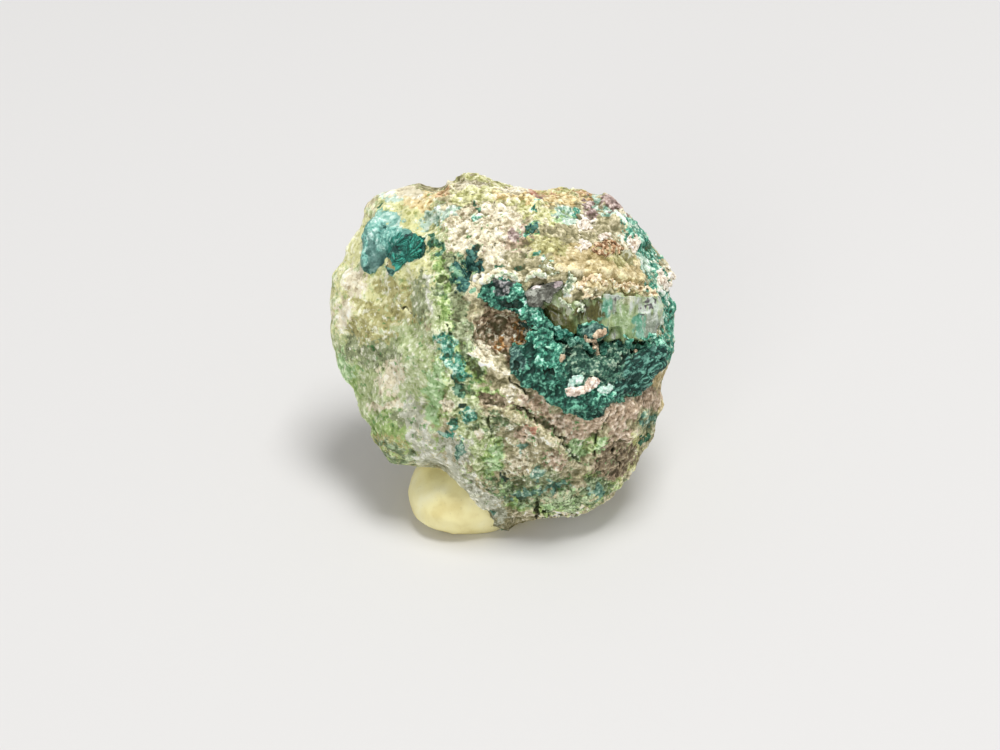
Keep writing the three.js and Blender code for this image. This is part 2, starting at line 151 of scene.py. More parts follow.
surround = bpy.data.worlds.new("studio")
surround.use_nodes = True
backdrop = surround.node_tree.nodes["Background"].inputs
backdrop["Color"].default_value = (1, 1, 1, 1)
backdrop["Strength"].default_value = SURROUND_LIGHT
bpy.context.scene.world = surround
bpy.context.scene.view_settings.view_transform = "Standard"

# %% [markdown]
# A few helpers are used for every piece. An operator works on all that is selected, so each one
# starts by selecting a single object. A modifier is applied at once, which leaves a plain mesh. A
# vertex group can hold it to the corners where a mask is above 0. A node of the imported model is
# never changed: a piece that stands for it starts from a copy of its mesh, with the loose triangles
# merged.

# %% Helpers that shape a piece
MERGE_DISTANCE = 0.001 * MM
WEIGHT_STEPS = 20


def nothing_selected():
    """Leave edit mode and deselect everything."""
    if bpy.context.object and bpy.context.object.mode != "OBJECT":
        bpy.ops.object.mode_set(mode="OBJECT")
    bpy.ops.object.select_all(action="DESELECT")


def only(piece):
    """Select one object and make it the active one."""
    nothing_selected()
    piece.select_set(True)
    bpy.context.view_layer.objects.active = piece


def group_from(piece, weights):
    """The name of a vertex group that carries these weights, in even steps."""
    group = piece.vertex_groups.new(name="where")
    steps = np.round(np.clip(weights, 0, 1) * WEIGHT_STEPS).astype(int)
    for step in range(1, WEIGHT_STEPS + 1):
        members = np.nonzero(steps == step)[0].tolist()
        if members:
            group.add(members, step / WEIGHT_STEPS, "REPLACE")
    return group.name


def finish_with(piece, kind, where=None, **settings):
    """Apply a modifier to a piece with these settings, all over or where a mask says."""
    if where is not None:
        settings["vertex_group"] = group_from(piece, where)
    only(piece)
    modifier = piece.modifiers.new(kind.lower(), kind)
    for setting, value in settings.items():
        setattr(modifier, setting, value)
    bpy.ops.object.modifier_apply(modifier=modifier.name)
    piece.vertex_groups.clear()


def remesh(piece, voxel):
    """Give a piece an even skin of small faces."""
    finish_with(piece, "REMESH", mode="VOXEL", voxel_size=voxel)


def melt(piece, rounds, where=None):
    """Smooth a skin this many times over."""
    finish_with(piece, "SMOOTH", where, factor=0.5, iterations=rounds)


def displace(piece, texture, height, level=0.5, where=None):
    """Move the skin out by a texture's brightness over level, times height in mm."""
    finish_with(piece, "DISPLACE", where, texture=texture, strength=height * MM, mid_level=level)


def raise_skin(piece, height, where=None):
    """Move the skin out evenly, by a height in mm."""
    displace(piece, None, height, level=0.0, where=where)


def in_edit_mode(piece, *steps):
    """Run operators on the whole of a piece's mesh, each given as a function."""
    only(piece)
    bpy.ops.object.mode_set(mode="EDIT")
    bpy.ops.mesh.select_all(action="SELECT")
    for step in steps:
        step()
    bpy.ops.object.mode_set(mode="OBJECT")


def copy_of_node(node, name):
    """A new piece with its own merged copy of a node's mesh."""
    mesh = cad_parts[node].data.copy()
    mesh.materials.clear()
    piece = bpy.data.objects.new(name, mesh)
    bpy.context.scene.collection.objects.link(piece)
    in_edit_mode(piece, lambda: bpy.ops.mesh.remove_doubles(threshold=MERGE_DISTANCE))
    return piece


def spans(piece):
    """The size of a piece's box in mm, for printing."""
    return [round(side / MM, 2) for side in piece.dimensions]


print(len(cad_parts), "nodes are ready to be copied")

# %% [markdown]
# A mesh with a hundred thousand corners is too slow to walk through one corner at a time. These
# helpers read and write them all at once, as rows of numbers. A mask is such a row, with one number
# from 0 to 1 for each corner. It can be kept on the mesh under a name, for a material to read.

# %% Helpers that read and write corners


def rows_of(items, field, width=3, kind=float):
    """One row of numbers for each of a mesh's corners, edges or faces."""
    rows = np.empty(width * len(items), kind)
    items.foreach_get(field, rows)
    return rows.reshape(-1, width)


def corners(piece):
    """The places of a mesh's corners."""
    return rows_of(piece.data.vertices, "co")


def facing(piece):
    """The outward normals at a mesh's corners."""
    return rows_of(piece.data.vertex_normals, "vector")


def move_corners(piece, places):
    """Put a mesh's corners at these places."""
    piece.data.vertices.foreach_set("co", places.ravel())
    piece.data.update()


def store(piece, name, values):
    """Keep one number for each corner, for a material to read by name."""
    old = piece.data.attributes.get(name)
    if old:
        piece.data.attributes.remove(old)
    attribute = piece.data.attributes.new(name, "FLOAT", "POINT")
    attribute.data.foreach_set("value", np.ascontiguousarray(values, np.float32))


def stored(piece, name):
    """The numbers that were kept for a piece's corners."""
    values = np.empty(len(piece.data.vertices), np.float32)
    piece.data.attributes[name].data.foreach_get("value", values)
    return values


def ease(low, high, values):
    """0 below low, 1 above high, and a smooth rise between them."""
    share = np.clip((np.asarray(values) - low) / (high - low), 0, 1)
    return share * share * (3 - 2 * share)


print("a rise from 0 to 1 passes", [round(float(ease(0, 1, k / 4)), 2) for k in range(5)])

# %% [markdown]
# The host rock is one lump of ore, so it is one piece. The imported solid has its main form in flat
# facets. A voxel remesh gives it an even skin of small faces, smoothing melts the facets away, and
# the side that is looked at is divided once more, because that is where detail pays. Dividing the
# whole stone would spend as many faces again on its hidden back.

# %% The skin of the stone
SKIN_VOXEL = 0.3 * MM
MELTING_ROUNDS = 6
TOWARDS_THE_EYE = 0.2

stone = copy_of_node("host_rock", "weathered_stone")
remesh(stone, SKIN_VOXEL)
melt(stone, MELTING_ROUNDS)


def divide_towards_the_eye(piece, least):
    """Halve the edges of the faces that look at the eye at least this squarely."""
    only(piece)
    chosen = rows_of(piece.data.polygons, "normal") @ np.array(OUT) > least
    piece.data.polygons.foreach_set("select", chosen)
    bpy.ops.object.mode_set(mode="EDIT")
    bpy.ops.mesh.select_mode(type="FACE")
    bpy.ops.object.mode_set(mode="OBJECT")
    piece.data.polygons.foreach_set("select", chosen)
    bpy.ops.object.mode_set(mode="EDIT")
    bpy.ops.mesh.subdivide(number_cuts=1)
    bpy.ops.mesh.select_all(action="SELECT")
    bpy.ops.object.mode_set(mode="OBJECT")


divide_towards_the_eye(stone, TOWARDS_THE_EYE)
stone.data.calc_loop_triangles()
print("the stone's skin has", len(stone.data.loop_triangles), "triangles")

# %% [markdown]
# The stone is a patchwork of minerals: chalky white grains, lemon and ochre crusts, teal and leaf
# green stains, a rusty hollow and a pink matrix. Each one is a finish with a mask, a number from 0
# to 1 at every corner of the skin. A mask is the union of blots and streaks. A blot is an ellipse:
# its middle, its half sizes and, if it is turned, its turn in degrees. A streak is a path and its
# half width. The material breaks up their edges later, so they can stay simple. Where a finish's
# cover is below 1, it also lets some of what lies beneath show through.

# %% Where each finish lies on the display face
FINISHES = {
    "mossy_ground": {
        "cover": 1.0, "blots": [((-11.6, -1), (5.4, 10.5), 12), ((-9, 9), (4, 6))],
        "streaks": [([(-5.6, 8), (-5.4, 2), (-4, -4), (-1.6, -10)], 1.6)]},
    "lemon_crust": {
        "cover": 0.72, "blots": [
            ((-3.1, 15), (3, 1.8)), ((-0.4, 13.7), (2.8, 1.1), -10), ((-12.8, 3.9), (3.4, 4.4), 5),
            ((-8.8, 10), (3.6, 5.4)), ((-13.9, 9.6), (1.8, 3.4), -30), ((12, -8.6), (0.7, 1.5), -20),
            ((-11, -8.4), (1.6, 1.2)), ((2.2, 13.2), (1.8, 0.8)), ((4, 12.4), (1.7, 1.1)),
            ((-8.2, 13.2), (1.6, 1.2)), ((-2, 15.6), (4, 1.6)), ((3, 15.2), (5, 1.2), -5)],
        "streaks": [([(12, -9.4), (11.4, -11), (10.6, -12.2)], 0.4)]},
    "leaf_green": {
        "cover": 0.72, "blots": [
            ((-6.3, -4.2), (1.2, 3.6), -3), ((-10.7, -8), (3.3, 2.6), -20), ((-14.4, -2.4), (1.1, 3), 10),
            ((-1, -9.8), (1.2, 2.1), -10), ((0.5, -12.8), (1.1, 0.7)), ((1.4, -14.3), (1.4, 0.8)),
            ((5.2, -14.2), (2.8, 0.9), 10), ((6.7, -8.6), (1.4, 1.3), -20), ((8.6, -8.6), (1.2, 1.2)),
            ((-2.4, -2.2), (0.9, 1.4), -10), ((9.4, -12.3), (1.8, 0.8), 30), ((-8.4, 14.6), (0.8, 0.5)),
            ((8, -11.6), (1, 0.8)), ((-1.6, -4), (1.6, 0.6), -10), ((-5.8, -8.8), (1.1, 0.7), -10),
            ((-3.6, -11.6), (0.7, 1.3), 15)],
        "streaks": [
            ([(-5.9, 8.6), (-5.6, 6.4), (-5.1, 4), (-4.3, 1.6), (-3.2, -1.2)], 1),
            ([(0.3, -4.8), (1.3, -5.2), (2.6, -5.9), (3.8, -6.7)], 0.35)]},
    "fresh_green": {
        "cover": 1.0, "blots": [
            ((6.6, -8.9), (0.8, 1), -20), ((8.8, -9), (0.6, 1.2)), ((5.2, -13.9), (2.4, 0.5), 8),
            ((1.6, -14.3), (0.9, 0.4)), ((-6.5, -3.9), (0.9, 3), -3), ((-0.9, -10), (0.7, 1.5), -20),
            ((5.4, 12.3), (1.2, 0.7)), ((0.4, -12.9), (0.7, 0.5)), ((-14.6, -1.6), (0.6, 2), 10),
            ((-3, 7), (0.5, 0.4))]},
    "ochre_crust": {
        "cover": 0.85, "blots": [
            ((6.4, 8.6), (2.8, 1.6), -12), ((9.8, 7.4), (3.9, 1.9), -8), ((6.9, -7.4), (0.8, 0.5)),
            ((3.4, 14.3), (2.6, 0.5), -4)],
        "streaks": [([(14.1, -1.8), (14.8, -4), (14.5, -5.6)], 0.7)]},
    "golden_crust": {
        "cover": 0.74, "blots": [
            ((-7.8, 13.6), (1.6, 0.9), -20), ((-7.2, 14.4), (1.6, 0.5), 5), ((4, 14.4), (4, 0.8), -5)],
        "streaks": [([(-1, 14.2), (2, 13.7), (5, 13.9), (7.6, 13.8)], 0.4)]},
    "apricot_crust": {
        "cover": 0.74, "blots": [((-5.7, 14.4), (0.9, 0.45), 30), ((7.4, 14.7), (1.2, 0.4), -5)],
        "streaks": [([(9.3, -6.6), (10.2, -4.9), (11.6, -4.6)], 0.5)]},
    "olive_ochre": {
        "cover": 0.72, "blots": [
            ((-9.8, 4), (2.2, 1.7), 20), ((-10.6, -2.6), (0.7, 1), 20), ((-10.8, 5.9), (1.9, 0.7), -5),
            ((3.8, 9.7), (2.2, 1.3)), ((10.6, 8.4), (1.2, 0.9)), ((-10.6, -8.7), (2.4, 1.3), -25),
            ((-11.6, 2.8), (2.4, 1.3))],
        "streaks": [
            ([(-13.6, 4.6), (-11.6, 3.6), (-9.6, 4), (-8.4, 3)], 0.7),
            ([(-13.8, 2), (-12, 1), (-10.4, 1.4)], 0.6)]},
    "pink_matrix": {
        "cover": 0.78, "blots": [
            ((5, -6.5), (2.6, 1), -10), ((10.7, -5.4), (2.2, 1.6), 20), ((13.1, -4.3), (1.4, 1.3)),
            ((2.6, -4.6), (1.5, 0.9), -20), ((10.8, -7.6), (1.2, 1.4)), ((4.4, -10), (1.3, 0.9)),
            ((1.8, -7.6), (1.2, 0.8)), ((-1.2, 11.2), (4, 2.2), -10), ((9.6, -11), (1.6, 1.2))],
        "streaks": [([(6.4, -7.2), (8.6, -6.2), (10.8, -5.4)], 1.2)]},
    "mauve_stain": {
        "cover": 0.8, "blots": [
            ((10.1, 13.2), (1.1, 0.9), -35), ((7.8, 13.2), (0.9, 1.1), 10), ((3.1, 14.2), (0.7, 0.35)),
            ((0.8, 10.6), (0.8, 0.6))],
        "streaks": [([(9.4, 14), (10.4, 12.9), (11.2, 12)], 0.5)]},
    # Dark olive, with painted shade on the low front and in the crevices.
    "dark_olive_and_shade": {
        "cover": 0.6, "blots": [
            ((1.7, -12.7), (4.4, 2.1)), ((8.6, -12.3), (2, 1.2), 20), ((6, -13.6), (3.4, 1.2), 12),
            ((-0.6, -6.6), (1.6, 1.6)), ((-10.2, -9.5), (2.8, 1.4), -30), ((-2.9, -6.9), (0.6, 0.7)),
            ((-4.2, -3.1), (0.9, 0.9), -20), ((-3.5, -3.7), (1, 0.7)), ((-4.2, 8), (0.7, 0.9)),
            ((-6.4, 9.9), (0.9, 0.8)), ((-6.2, 5.6), (0.7, 1.2)), ((6.1, -9.3), (0.45, 1.3), 35),
            ((11.1, -11.6), (0.4, 0.4))],
        "streaks": [([(-4.8, 8.4), (-4.4, 4.4), (-3.6, 1.2), (-2.4, -1.6)], 1)]},
    # Painted shade: the darker low right of the front, and the shadow along the upper side of the main
    # crack.
    "umber_shade": {
        "cover": 0.76, "blots": [((10, -10), (2.4, 1.8), 25)],
        "streaks": [([(-2.2, -4.2), (0.2, -4.6), (1.6, -5.2), (3.4, -6.4), (5, -7.4)], 0.35)]},
    "sage_shade": {
        "cover": 0.68, "blots": [
            ((-7.8, 4.8), (0.9, 3), -5), ((-11.9, -0.4), (2.4, 1.6)), ((-9.4, -6.2), (1.3, 1.3)),
            ((-13.9, 0.6), (0.9, 1.4)), ((3.6, -11.7), (2.4, 1.2)), ((13.4, -6.6), (1.3, 1.5))],
        "streaks": [([(-4.9, 8.6), (-4.5, 4.4), (-3.7, 1.2)], 0.9)]},
    "chalky_white": {
        "cover": 0.76, "blots": [
            ((-9.4, 14.7), (2.5, 0.8)), ((-3.4, 15.3), (2.4, 0.8), 5), ((1, 14.4), (1.6, 0.6)),
            ((-2.4, 11.3), (3.2, 2), -12), ((-4.2, 10), (1.3, 0.9)), ((-0.6, 12.2), (2.4, 1.8)),
            ((-0.8, 8.7), (1.2, 1.9)), ((7.3, 11.6), (1.1, 1)), ((15, 6.8), (1.2, 1.6)),
            ((1.5, -10.2), (1.2, 0.9), 20), ((0.3, -3.7), (0.45, 0.8)), ((-1.9, 0.1), (1.1, 1.2)),
            ((2.9, 7), (1.6, 0.35), 8), ((-10.5, -2.5), (1.5, 1.8), -10), ((-10.4, -5), (1.2, 0.5), 10),
            ((-13.6, 6.4), (1, 1.6), 10), ((-14.6, 3.6), (0.8, 1.6)), ((-12, -5.1), (0.9, 0.4)),
            ((-5.2, -5), (0.7, 0.5)), ((-2.4, -7.6), (0.8, 0.4), -20), ((3, -8.1), (1.5, 0.5), -15),
            ((11.3, 10.2), (0.7, 0.9)), ((-7.7, -7.2), (0.6, 1.5), 20), ((-2.4, -13.6), (0.7, 1.5), 30)],
        "streaks": [
            ([(-2, 6.6), (-0.6, 7), (1.2, 6.5)], 0.5),
            ([(-3, 0), (-1.6, -1.2), (0.3, -2.1)], 0.3),
            ([(10.4, 12.2), (11.8, 10.8), (12.4, 9.8)], 0.5),
            ([(0.6, -15.7), (3.4, -15.2), (7, -14.5)], 0.3)]},
    "grey_band": {
        "cover": 0.66, "blots": [
            ((-5, -11.4), (2.2, 0.9), -25), ((-1.6, -14.2), (1.5, 1.7), 20),
            ((-4.6, -9), (2.2, 1.3), -35)],
        "streaks": [
            ([(-7.3, 7), (-7.1, 5), (-6.8, 3.2)], 0.25),
            ([(-8.6, -5.2), (-8, -7.6), (-7.2, -9.8), (-5, -11), (-3.2, -12.6)], 1.3),
            ([(-3.2, -12.6), (-2, -14.6), (-0.8, -15.6)], 1.4)]},
    "dull_teal": {
        "cover": 0.8, "blots": [
            ((-4.2, -9), (0.6, 0.8)), ((1.8, -13.2), (1.8, 0.5), 10), ((3.1, -11.4), (1, 0.6)),
            ((8.5, -12.9), (0.8, 0.4)), ((4.6, -12.4), (1.4, 0.5), 10), ((1.7, -8.9), (0.4, 0.55)),
            ((-1.1, -14.9), (0.5, 0.3)), ((-5.8, -7.6), (0.8, 0.4)), ((13.3, -6.4), (0.8, 0.7))]},
    "teal_crust": {
        "cover": 0.74, "blots": [
            ((-3, 8.9), (0.6, 0.9)), ((-3.3, -5.8), (0.8, 0.9), -30), ((-4.7, -6.7), (0.6, 0.5)),
            ((-5, -7.8), (0.6, 0.4)), ((6.4, 12.9), (0.4, 0.3)), ((2.9, 13.3), (0.4, 0.2)),
            ((3, 8.9), (0.4, 0.3)), ((4.2, 8.3), (0.4, 0.2)), ((-2.5, 12.2), (0.45, 0.35)),
            ((2.3, 11), (1, 0.6), 25)],
        "streaks": [
            ([(11.5, 11.4), (12.8, 9.8), (13.7, 7.4), (14.6, 4.4), (15.1, 2), (15.1, -0.2)], 1.1),
            ([(15.4, 5), (15.8, 3), (15.7, 0.5)], 0.8),
            ([(-5.5, 1), (-4.9, -0.6), (-4.2, -2.1)], 1)]},
    "pale_aqua": {
        "cover": 0.7, "blots": [
            ((-6.5, 12.3), (1.9, 1), 25), ((-4.9, 12.9), (1.2, 0.6), 15), ((-10.4, 14), (1.2, 0.5)),
            ((5.9, 5.8), (0.6, 0.9)), ((5.3, 12.9), (1.1, 0.5)), ((5.9, 12), (1, 0.5)),
            ((3.4, 8.1), (0.5, 0.3))],
        "streaks": [
            ([(8.3, 14.3), (9, 13), (10.2, 12), (11.6, 11.1)], 0.3),
            ([(12.2, 8.9), (13.2, 7.6), (14.2, 6.2), (14.8, 4.8)], 0.4)]},
    "aqua_skin": {
        "cover": 0.85, "blots": [((-10.6, 12), (1.2, 0.9)), ((-10, 11.2), (0.5, 0.7))]},
    "deep_green": {
        "cover": 0.8, "blots": [
            ((-6.5, 10.2), (0.9, 0.6), -20), ((-5.9, 9.3), (0.5, 0.6)), ((-4.4, -3.5), (0.5, 0.9), 20),
            ((-4.7, -6.6), (0.4, 0.35)), ((13.4, 9.8), (0.55, 0.9), -30), ((-0.5, 7.6), (0.5, 0.35)),
            ((1, 7.6), (0.35, 0.5)), ((-3, 5.2), (0.35, 0.35)), ((12.9, -8.2), (0.6, 0.3), 30),
            ((13.6, -6.2), (0.2, 0.4), -40), ((-11.2, 13.1), (0.3, 0.2)), ((-2.6, 13.2), (0.35, 0.25)),
            ((-4.5, 7.2), (0.7, 1.5), -5)]},
    "rusty_hollow": {
        "cover": 0.85, "blots": [((-0.2, 2), (2.9, 2.2), -20), ((0.6, 0.4), (1.6, 1.4), -30)]},
    "orange_rust": {
        "cover": 0.8, "blots": [((1.6, 1.5), (0.9, 1.3), 10), ((-0.4, 0.6), (0.8, 0.6))]},
    # Painted shade in the pockets and crevices, over their dark teal, and painted shadows under the plate
    # and the malachite's stem.
    "pocket_shade": {
        "cover": 0.9, "blots": [
            ((-2.9, 8.2), (0.95, 1.6), -12), ((-4, 6.2), (0.8, 1), -20), ((-4.5, 7.8), (0.35, 0.8)),
            ((2.4, 11.1), (0.75, 0.4), 20), ((2, 2.2), (0.4, 0.7)), ((0, -11.5), (0.2, 0.45), 40),
            ((-4.75, -2.6), (0.5, 0.2), -50), ((-4, -3.4), (0.35, 0.2), -30),
            ((-4.1, -4.9), (0.42, 0.32)), ((3.7, 5.1), (1.6, 0.8), 10)]},
    "red_spot": {
        "cover": 0.8, "blots": [
            ((4.1, 14.5), (0.7, 0.35)), ((2.5, 14.1), (0.6, 0.4)), ((2.4, -7.2), (0.7, 0.4), 10),
            ((1.2, 3.4), (0.5, 0.3))]},
    "pale_specks": {
        "cover": 0.33, "blots": [
            ((-10.5, 1), (6, 12), 5), ((2.5, -8.5), (7, 5)), ((0, 2), (4, 3)), ((14, 5), (1.6, 7))]},
    "green_specks": {
        "cover": 0.3, "blots": [((3, -9), (10, 6.5)), ((-0.5, 11), (6, 3), -5), ((-10, -3), (6, 9))],
        "streaks": [([(-6, 9), (-5, 3), (-3, -3)], 1.8)]},
    "dark_specks": {
        "cover": 0.24, "blots": [((4, 11), (11, 5), -10), ((4, -9), (10, 6)), ((15, 2), (1.6, 9))],
        "streaks": [([(-5.8, 9), (-4.8, 3), (-3, -3), (-1, -8)], 1.4)]},
}
BLOT_SOFTNESS = 0.6
STREAK_SOFTNESS = 0.7


def blot(across, up, middle, half, turn=0):
    """1 inside an ellipse, falling softly to 0 around its edge."""
    angle = math.radians(turn)
    right, above = across - middle[0], up - middle[1]
    along = (right * math.cos(angle) + above * math.sin(angle)) / half[0]
    aside = (above * math.cos(angle) - right * math.sin(angle)) / half[1]
    return 1 - ease(1 - BLOT_SOFTNESS, 1 + BLOT_SOFTNESS, np.hypot(along, aside))


def way_from(across, up, path):
    """The distance from a path of straight stretches, in mm."""
    nearest = np.full(len(across), np.inf)
    for (x0, y0), (x1, y1) in zip(path, path[1:]):
        run, rise = x1 - x0, y1 - y0
        share = np.clip(((across - x0) * run + (up - y0) * rise) / (run**2 + rise**2), 0, 1)
        nearest = np.minimum(nearest, np.hypot(across - x0 - share * run, up - y0 - share * rise))
    return nearest


def streak(across, up, path, half_width):
    """1 on a path, falling softly to 0 at its sides."""
    apart = way_from(across, up, path) / half_width
    return 1 - ease(1 - STREAK_SOFTNESS, 1 + STREAK_SOFTNESS, apart)


def union_of(across, up, blots, streaks=()):
    """The mask of all these blots and streaks together."""
    mask = np.zeros(len(across))
    for mark in blots:
        mask = np.maximum(mask, blot(across, up, *mark))
    for mark in streaks:
        mask = np.maximum(mask, streak(across, up, *mark))
    return mask


print(len(FINISHES), "finishes in", sum(len(f["blots"]) for f in FINISHES.values()), "blots")

# %% [markdown]
# A mineral stain has no smooth outline, and an ellipse would show as one. So the places are first
# shaken by two noises, one 0.9 mm and one 0.4 mm wide, and every mark comes out torn. The same soft
# noise is used further down wherever something has to vary over the stone. Each use reads it at
# its own shift, so that no two of them agree.

# %% Noise that shakes the marks
SHAKES = {0.9: 0.6, 0.4: 0.35}
ACROSS_SHIFT = 1.7
UP_SHIFT = 9.1


def soft_patches(places, width, shift):
    """Smooth noise, about -1 to 1, with swellings of this width in mm."""
    scaled = places / (width * MM) + shift
    return np.array([noise_field.noise(Vector(row)) for row in scaled])


def shaken(places):
    """How far across and up the display face points are seen, shaken by noise, in mm."""
    across, up, _ = on_the_face(places)
    for width, reach in SHAKES.items():
        across = across + reach * soft_patches(places, width, ACROSS_SHIFT)
        up = up + reach * soft_patches(places, width, UP_SHIFT)
    return across, up


print("marks are shaken by up to", sum(SHAKES.values()), "mm")

# %% [markdown]
# Nobody can see the back from here, but it is the same rock. It gets the same finishes in patches
# of soft noise, which swell and shrink over a few millimetres. A share from 0, behind, to 1, in
# front, blends the two, so that the marks of the display face don't print through to the back. The
# front's marks reach on over the top edge, where the skin turns away from the eye but still shows.

# %% The masks of the stone
FRONT_LOOK = (-0.25, 0.05)
TOP_EDGE = (11.5, 13.5)
OVER_THE_TOP = 0.95
PATCH_SHIFT = 7.3
PATCH_EDGE = 0.16
WILD_PATCHES = {
    "mossy_ground": {"width": 9.0, "above": -0.1},
    "lemon_crust": {"width": 6.0, "above": -0.05},
    "leaf_green": {"width": 4.6, "above": 0.1},
    "ochre_crust": {"width": 4.0, "above": 0.28},
    "pink_matrix": {"width": 5.2, "above": 0.2},
    "chalky_white": {"width": 3.6, "above": 0.26},
    "teal_crust": {"width": 3.8, "above": 0.4},
    "grey_band": {"width": 6.5, "above": 0.24},
    "dark_olive_and_shade": {"width": 5.6, "above": 0.15},
    "pale_specks": {"width": 9.0, "above": -0.2},
    "green_specks": {"width": 8.0, "above": -0.1},
    "dark_specks": {"width": 9.0, "above": -0.3},
}


def store_masks(piece):
    """Keep every finish's mask for the corners of a piece."""
    places = corners(piece)
    across, up = shaken(places)
    facing_out = facing(piece) @ np.array(OUT) + OVER_THE_TOP * ease(*TOP_EDGE, up)
    front = ease(*FRONT_LOOK, facing_out)
    store(piece, "front", front)
    for number, (finish, marks) in enumerate(FINISHES.items()):
        mask = union_of(across, up, marks["blots"], marks.get("streaks", ()))
        mask *= front * marks["cover"]
        if finish in WILD_PATCHES:
            wild = WILD_PATCHES[finish]
            noise = soft_patches(places, wild["width"], PATCH_SHIFT * (number + 1))
            behind = ease(wild["above"] - PATCH_EDGE, wild["above"] + PATCH_EDGE, noise)
            mask = np.maximum(mask, behind * (1 - front) * marks["cover"])
        store(piece, finish, mask)
        print(finish, "lies on", round(100 * float((mask > 0.5).mean())), "% of", piece.name)


store_masks(stone)

# %% [markdown]
# Weathered ore is rough at every size: broken swells a few millimetres wide, clasts, crumbs, grains
# and pinholes. Sculpting that by hand would take days. Displace modifiers do it with a texture each.
# A texture's brightness says how far the skin moves, and its size is the width of its pattern. A
# color ramp turns a pattern into white with black spots, for pits.

# %% Textures for relief


def relief_texture(name, kind, size, **settings):
    """A texture whose pattern repeats about every size, in mm."""
    texture = bpy.data.textures.new(name, kind)
    texture.noise_scale = size * MM
    for setting, value in settings.items():
        setattr(texture, setting, value)
    return texture


def pits_texture(name, kind, size, foot, mouth, **settings):
    """White all over, with black spots where the pattern is darker than mouth."""
    texture = relief_texture(name, kind, size, **settings)
    texture.use_color_ramp = True
    for stop, position, shade in zip(texture.color_ramp.elements, (foot, mouth), (0, 1)):
        stop.position = position
        stop.color = (shade, shade, shade, 1)
    return texture


SWELLS = relief_texture("swells", "CLOUDS", 2.2, noise_depth=2)
BROKEN = relief_texture("broken", "CLOUDS", 1.3, noise_depth=3, noise_type="HARD_NOISE")
CLASTS = relief_texture("clasts", "VORONOI", 1.25, color_mode="POSITION")
SMALL_CLASTS = relief_texture("small_clasts", "VORONOI", 0.6, color_mode="POSITION")
CRUMBS = relief_texture("crumbs", "VORONOI", 0.8, distance_metric="DISTANCE_SQUARED")
GRAINS = relief_texture("grains", "VORONOI", 0.5, distance_metric="DISTANCE_SQUARED")
FINE_GRAIN = relief_texture("fine_grain", "CLOUDS", 0.34, noise_depth=2)
PINHOLES = pits_texture("pinholes", "VORONOI", 1.7, 0.05, 0.16)
WIDE_PITS = pits_texture("wide_pits", "CLOUDS", 0.9, 0.24, 0.34, noise_depth=2)
print(len(bpy.data.textures), "textures for relief")

# %% [markdown]
# A few forms are too plain to leave to a texture. Thin rims stand up along the edges of the step,
# the hollow beside the step is filled level with the rock around it, and the skin swells or shrinks
# a little where the stone's outline needs it. A mask and an even height make each of them.

# %% The stone's own rims, caves and swellings
RAISED_RIMS = [
    [(-2.2, 6.4), (-0.6, 7), (1.2, 6.6)],
    [(1.8, 6), (3, 6.9), (4.2, 6.4), (5.3, 6.9), (6, 5.6), (5.7, 4.4)],
    [(-3.2, 0.2), (-1.6, -1.2), (0.3, -2.1)],
    [(5.2, 7.4), (8.5, 7.8), (12.2, 6.6)],
    [(-5, 15), (-3, 14.6), (0.4, 14.5), (2.4, 14.1)],
    [(9, 14.6), (10.2, 12.6), (12.4, 10.2)],
    [(-1.9, -5.3), (0.3, -5.5), (2, -6.6), (4, -7.7), (5.4, -9.2)],
]
RIM_HALF_WIDTH = 0.55
RIM_HEIGHT = 0.5
CAVES = [((-3.4, 7.3), (1.4, 2.1), 12), ((2.4, 11.1), (0.9, 0.6), 20)]
CAVE_FILL = 0.45
POCKET_DEPTH = 0.2
SWOLLEN = {((-11.4, 13.4), (1.8, 1.6)): 0.5, ((6, -14.2), (3.4, 1.3), 8): 0.6}
JAGGED_TOP = (10.5, 13.5)
SIDE_EDGE = (-8.6, -5.8)
SIDE_SLANT = 0.25

stone_front = stored(stone, "front")
across, up, _ = on_the_face(corners(stone))
soft_side = (1 - ease(*SIDE_EDGE, across + SIDE_SLANT * np.minimum(up, 0))) * stone_front
store(stone, "soft_side", soft_side)
caves = union_of(across, up, CAVES) * stone_front
TRIMS = [((-12.0, -15.5, across), 0.35), ((-13.0, -16.0, up), -0.5), ((13.5, 16.0, up), -0.25)]


def rims_of(piece):
    """1 along the thin rims that stand up from the display face."""
    across, up, _ = on_the_face(corners(piece))
    rims = [(path, RIM_HALF_WIDTH) for path in RAISED_RIMS]
    return union_of(across, up, [], rims) * stored(piece, "front")


print(len(RAISED_RIMS), "rims,", len(CAVES), "caves and", len(SWOLLEN), "swellings")

# %% [markdown]
# Now the relief, the coarsest first. Every layer has its height in mm and, where it shouldn't cover
# the whole stone, a mask. So the chalky rim gets round grains, the rusty hollow and the green
# streaks get crumbs and holes, and the left side and the grey and ochre crusts stay softer. A
# negative height turns a pattern inside out: a Voronoi texture is darkest in the middle of its
# cells, so it gives domes that way. A level of 1 only presses in, and one of 0 only raises.

# %% The relief of the stone
SOFTENED = (0.68, 0.4, 0.5)
LEAST_ROUGH = 0.25

chalk, teal, leaf = (stored(stone, name) for name in ("chalky_white", "teal_crust", "leaf_green"))
rust, pink, ochre = (stored(stone, name) for name in ("rusty_hollow", "pink_matrix", "ochre_crust"))
pocket, grey = (stored(stone, name) for name in ("pocket_shade", "grey_band"))
on_side, on_grey, on_ochre = SOFTENED
rough = np.clip(1 - on_side * soft_side - on_grey * grey - on_ochre * ochre, LEAST_ROUGH, 1)
gritty = np.clip(0.4 + chalk + pink, 0, 1)

